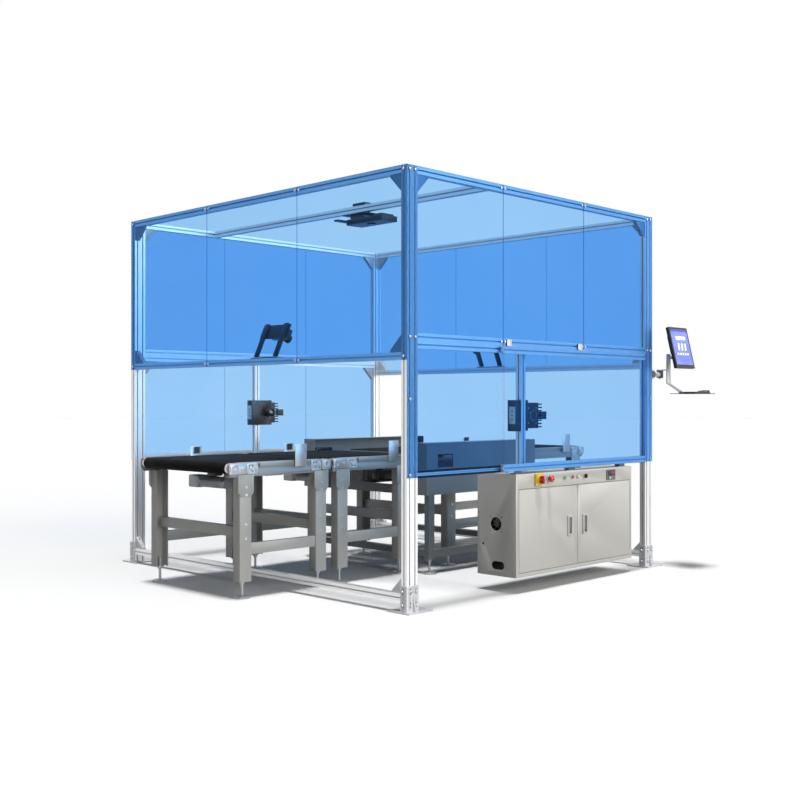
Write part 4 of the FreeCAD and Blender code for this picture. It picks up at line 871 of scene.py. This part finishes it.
b = Build("selector_handle")
b.lathe([(0, -10), (7.6, -10), (8.0, -9.4), (8.0, 7.9), (12.6, 7.9), (13.0, 8.4), (13.0, 11.2), (12.4, 12.0), (0, 12.0)], (1510, CY, CZ), (0, -1, 0), "black_pl", 48)
b.box(1507.1, 1512.9, -53.8, -41.0, 625.2, 648.8, "black_pl", 1.6, 4)
b.box(1509.4, 1510.6, -54.0, -53.2, 638.5, 647.5, "white_pl", 0.2, 2)
b.done(body="selector", replaces=["selector_knob"])

b = Build("meter_unit")
b.box(1742.2, 1837.8, -36.4, -30.3, 598.2, 663.8, "grey_pl", 2.2, 4)
b.box(1747, 1833, -30.4, 29, 603, 659, "black_pl", 1.0, 2)
b.box(1749, 1831, -36.9, -36.0, 624, 659, "black_pl", 0.6, 2)
for k in range(3):       # three seven-bar figures, all showing the same shape
    x = 1790 + 13 * k
    for seg in ((0, 0, 9, 1.6), (0, 9.2, 9, 1.6), (0, 18.4, 9, 1.6), (-0.4, 1.2, 1.6, 8.4), (8, 1.2, 1.6, 8.4), (-0.4, 10.4, 1.6, 8.4), (8, 10.4, 1.6, 8.4)):
        b.box(x + seg[0] * 0.7, x + (seg[0] + seg[2]) * 0.7, -37.0, -36.6, 638 + seg[1] * 0.7, 638 + (seg[1] + seg[3]) * 0.7, "meter_red", 0, 1)
for k, mt in enumerate(("dark_pl", "white_pl", "green", "red")):
    b.box(1752 + 19.5 * k, 1766 + 19.5 * k, -37.0, -36.2, 605, 617, mt, 0.5, 3)
b.done(replaces=["panel_meter"])

# four countersunk screws round the fan opening
b = Build("cabinet_screws")
for sy in (-1, 1):
    for sz in (-1, 1):
        b.lathe([(3.6, -0.2), (3.6, 0.25), (2.9, 0.6), (1.6, 0.6), (1.6, 0.2), (0, 0.2)], (850.0, 116 + 41 * sy, 386 + 41 * sz), (-1, 0, 0), "black_met", 20, hexes=(3, 4))
b.done()

# handle levers with a finger slot
for side, hx in (("left", 1336.0), ("right", 1490.0)):
    b = Build(side + "_lever_grip")
    b.box(hx + 14.0, hx + 36.0, -36.9, -34.6, 301.2, 394.8, "dark_pl", 0.8, 3)
    b.box(hx + 14.0, hx + 17.4, -36.0, -30.1, 301.2, 394.8, "grey_pl", 0.6, 2)
    b.box(hx + 32.6, hx + 36.0, -36.0, -30.1, 301.2, 394.8, "grey_pl", 0.6, 2)
    b.box(hx + 17.2, hx + 32.8, -36.0, -30.1, 366.5, 394.8, "grey_pl", 0.6, 2)
    b.box(hx + 17.2, hx + 32.8, -36.0, -30.1, 301.2, 306.0, "grey_pl", 0.6, 2)
    b.box(hx + 18.5, hx + 31.5, -37.0, -36.6, 309.0, 388.0, "grey_pl", 0.3, 2)
    b.cyl((hx + 9.2, -34.0, 391.0), (1, 0, 0), 1.5, 31.6, "zinc", 0.3, 20)
    b.done(body=side + "_lever", replaces=[side + "_handle_lever"])

# ------------------------------------------------------------- monitor set
MY, MZ = -102.0, 1378.0
FY, BZ = MY - 36.0, MZ - 81.0
LEANM = Matrix.Translation((0, MY, MZ)) @ Matrix.Rotation(math.radians(-13.5), 4, "X") @ Matrix.Translation((0, -MY, -MZ))
BX, AX, AY = 2450.0, 2350.0, 20.0
b = Build("monitor_shell")
# bezel as a rounded frame, back tray, cooling slots drawn as thin dark strips of painted shade, tilt knuckle
mx0, mx1, mz0, mz1 = 2372.0, 2602.0, BZ, BZ + 279.0
b.box(mx0, mx1, FY + 2.4, FY + 24.0, mz0, mz1, "black_pl", 4.0, 4, LEANM)
for x0, x1, z0, z1 in ((mx0, 2384.1, mz0, mz1), (2589.9, mx1, mz0, mz1), (2384.0, 2590.0, mz0, mz0 + 23.1), (2384.0, 2590.0, mz0 + 265.9, mz1)):
    b.box(x0, x1, FY, FY + 5.0, z0, z1, "black_pl", 1.2, 3, LEANM)
b.box(2412, 2562, FY + 23.0, FY + 49.9, mz0 + 105, mz0 + 227, "black_met", 5.0, 4, LEANM)
# painted shade: these nine thin dark strips stand for the shade inside the cooling slot openings
for k in range(9):
    b.box(2426, 2548, FY + 49.6, FY + 49.95, mz0 + 122 + 10.0 * k, mz0 + 126 + 10.0 * k, "rubber_and_slot_shade", 0.1, 1, LEANM)
for sx in (2420, 2554):
    for sz in (112, 220):
        b.lathe([(3.4, 0), (3.4, 0.3), (2.6, 0.6), (1.5, 0.6), (1.5, 0.2), (0, 0.2)], (sx, FY + 49.6, mz0 + sz), (0, 1, 0), "zinc", 18, LEANM, hexes=(3, 4))
b.box(BX - 11.6, BX + 11.6, FY + 23.0, FY + 37.0, MZ - 10, MZ + 12, "black_met", 1.5, 2, LEANM)
b.cyl((BX - 11.6, MY, MZ), (1, 0, 0), 9.0, 23.2, "black_met", 0.6, 40, LEANM)
b.cyl((BX - 20.0, MY, MZ), (1, 0, 0), 4.0, 40.0, "zinc", 0.4, 28, LEANM)
b.done(body="monitor", replaces=["monitor_case"])
b = Build("monitor_display")
b.box(2384.2, 2589.8, FY + 0.2, FY + 1.3, mz0 + 23.2, mz0 + 265.8, "screen", 0.2, 1, LEANM)
# plain blocks: a wide block, three slanted bars, a row of small blocks, a darker strip
f0 = FY - 0.15
def scr(pts, mt, d=0.0):
    b.prism([(2384.2 + u * 2.056, mz0 + 23.2 + v * 2.426) for u, v in pts], "xz", f0 - d, FY + 0.4, mt, 0, 1, LEANM)
scr([(0, 93), (100, 93), (100, 100), (0, 100)], "screen_b")
scr([(24, 70), (82, 70), (82, 80), (24, 80)], "screen_w")
for k in range(3):
    u = 27 + 20 * k
    scr([(u, 40), (u + 9, 40), (u + 12, 60), (u + 3, 60)], "screen_w")
for k in range(5):
    u = 16 + 15 * k
    scr([(u, 27), (u + 9, 27), (u + 9, 33), (u, 33)], "screen_w")
b.done(body="monitor", replaces=["monitor_screen"])

SA = 32.0
TY = -40.5 - 112.0 * math.cos(math.radians(SA))
TZ = 1207.0 - 112.0 * math.sin(math.radians(SA))
tz = TZ - 8.0
b = Build("tray_plate")
b.box(2332, 2582, -314.8, -125, tz - 4, tz, "black_met", 1.2, 3)
b.box(2334, 2580, -313.5, -311.5, tz - 0.3, tz + 0.4, "rubber_and_slot_shade", 0.2, 1)
b.box(BX - 8.4, BX + 8.4, TY - 5, TY + 5, tz - 1, tz + 7, "black_met", 0.8, 2)
b.cyl((BX - 8.4, TY, TZ + 2), (1, 0, 0), 6.0, 16.8, "black_met", 0.4, 32)
b.cyl((BX - 20, TY, TZ + 2), (1, 0, 0), 3.0, 40.0, "zinc", 0.3, 24)
b.done(body="tray", replaces=["keyboard_tray"])
b = Build("keyboard_set")
b.box(2338, 2514, -309, -211, tz, tz + 8, "black_pl", 2.4, 4)
for j in range(5):
    for i in range(12):
        if j == 0 and 3 <= i <= 7:
            continue
        b.box(2344.3 + 13.7 * i, 2355.4 + 13.7 * i, -302.7 + 17.6 * j, -288.7 + 17.6 * j, tz + 7.5, tz + 10.4, "dark_pl", 1.1, 3)
b.box(2344.3 + 13.7 * 3, 2355.4 + 13.7 * 7, -302.7, -288.7, tz + 7.5, tz + 10.4, "dark_pl", 1.1, 3)
# mouse: a smooth hump with a split between its buttons and a wheel
bm = bmesh.new()
bmesh.ops.create_uvsphere(bm, u_segments=40, v_segments=24, radius=1.0)
for v in bm.verts:
    x, y, z = v.co
    w = 27.0 * (1 - 0.12 * y)
    v.co = Vector((2549.0 + w * math.copysign(abs(x) ** 0.82, x), -242.0 + 50.0 * math.copysign(abs(y) ** 0.9, y),
                   tz + (24.6 * abs(z) ** 0.85 * (1 - 0.18 * y) if z > 0 else 0.0) * 0.86))
b._take(bm, "black_pl")
b.cyl((2546.5, -272.0, tz + 17.0), (1, 0, 0), 6.0, 5.0, "dark_pl", 0.8, 28)
b.box(2548.6, 2549.4, -291.0, -262.0, tz + 8.0, tz + 20.0, "rubber_and_slot_shade", 0.1, 1)
b.done(body="tray", replaces=["keyboard_and_mouse"])

# arm with a bright tube between dark knuckles
b = Build("arm_tube")
b.lathe([(6.4, 0), (20.2, 0), (21.0, 1.0), (21.0, 40.0), (20.2, 41.0), (0, 41.0)], (AX, AY, 1246.0), (0, 0, 1), "black_met", 56)
b.cyl((AX, AY, 1236.2), (0, 0, 1), 6.0, 60.6, "zinc", 0.5, 32)
b.lathe([(16.0, 0), (16.0, 60.0), (0, 60.0)], (AX + 20, AY, 1266.5), (1, 0, 0), "white_pl", 48)
b.lathe([(16.0, 0), (18.4, 0.6), (18.4, 9.4), (16.0, 10.0)], (AX + 21, AY, 1266.5), (1, 0, 0), "steel", 48)
b.lathe([(16.0, 0), (18.4, 0.6), (18.4, 9.4), (16.0, 10.0)], (AX + 68, AY, 1266.5), (1, 0, 0), "steel", 48)
b.lathe([(8.1, 0), (21.2, 0), (22.0, 1.0), (22.0, 47.0), (21.2, 48.0), (8.1, 48.0), (8.1, 0)], (BX, AY, 1244.0), (0, 0, 1), "black_met", 56)
b.done(body="arm", replaces=["monitor_arm"])

# -------------------------------------------------------------------- stage
bm = bmesh.new()
bmesh.ops.create_grid(bm, x_segments=2, y_segments=2, size=60.0)
me = bpy.data.meshes.new("floor")
bm.to_mesh(me)
bm.free()
floor = bpy.data.objects.new("floor", me)
scene.collection.objects.link(floor)
fm, FN, FL, FP = shader("floor_white")
FN.remove(FP)
dif = FN.new("ShaderNodeBsdfDiffuse")
flp = FN.new("ShaderNodeLightPath")
low = mix_rgb(FN, FL, flp.outputs["Is Glossy Ray"], (0.22, 0.22, 0.222, 1), (0.74, 0.74, 0.74, 1))
FL.new(mix_rgb(FN, FL, flp.outputs["Is Camera Ray"], low, (0.785, 0.785, 0.785, 1)), dif.inputs[0])
FL.new(dif.outputs[0], FN["Material Output"].inputs["Surface"])
me.materials.append(fm)
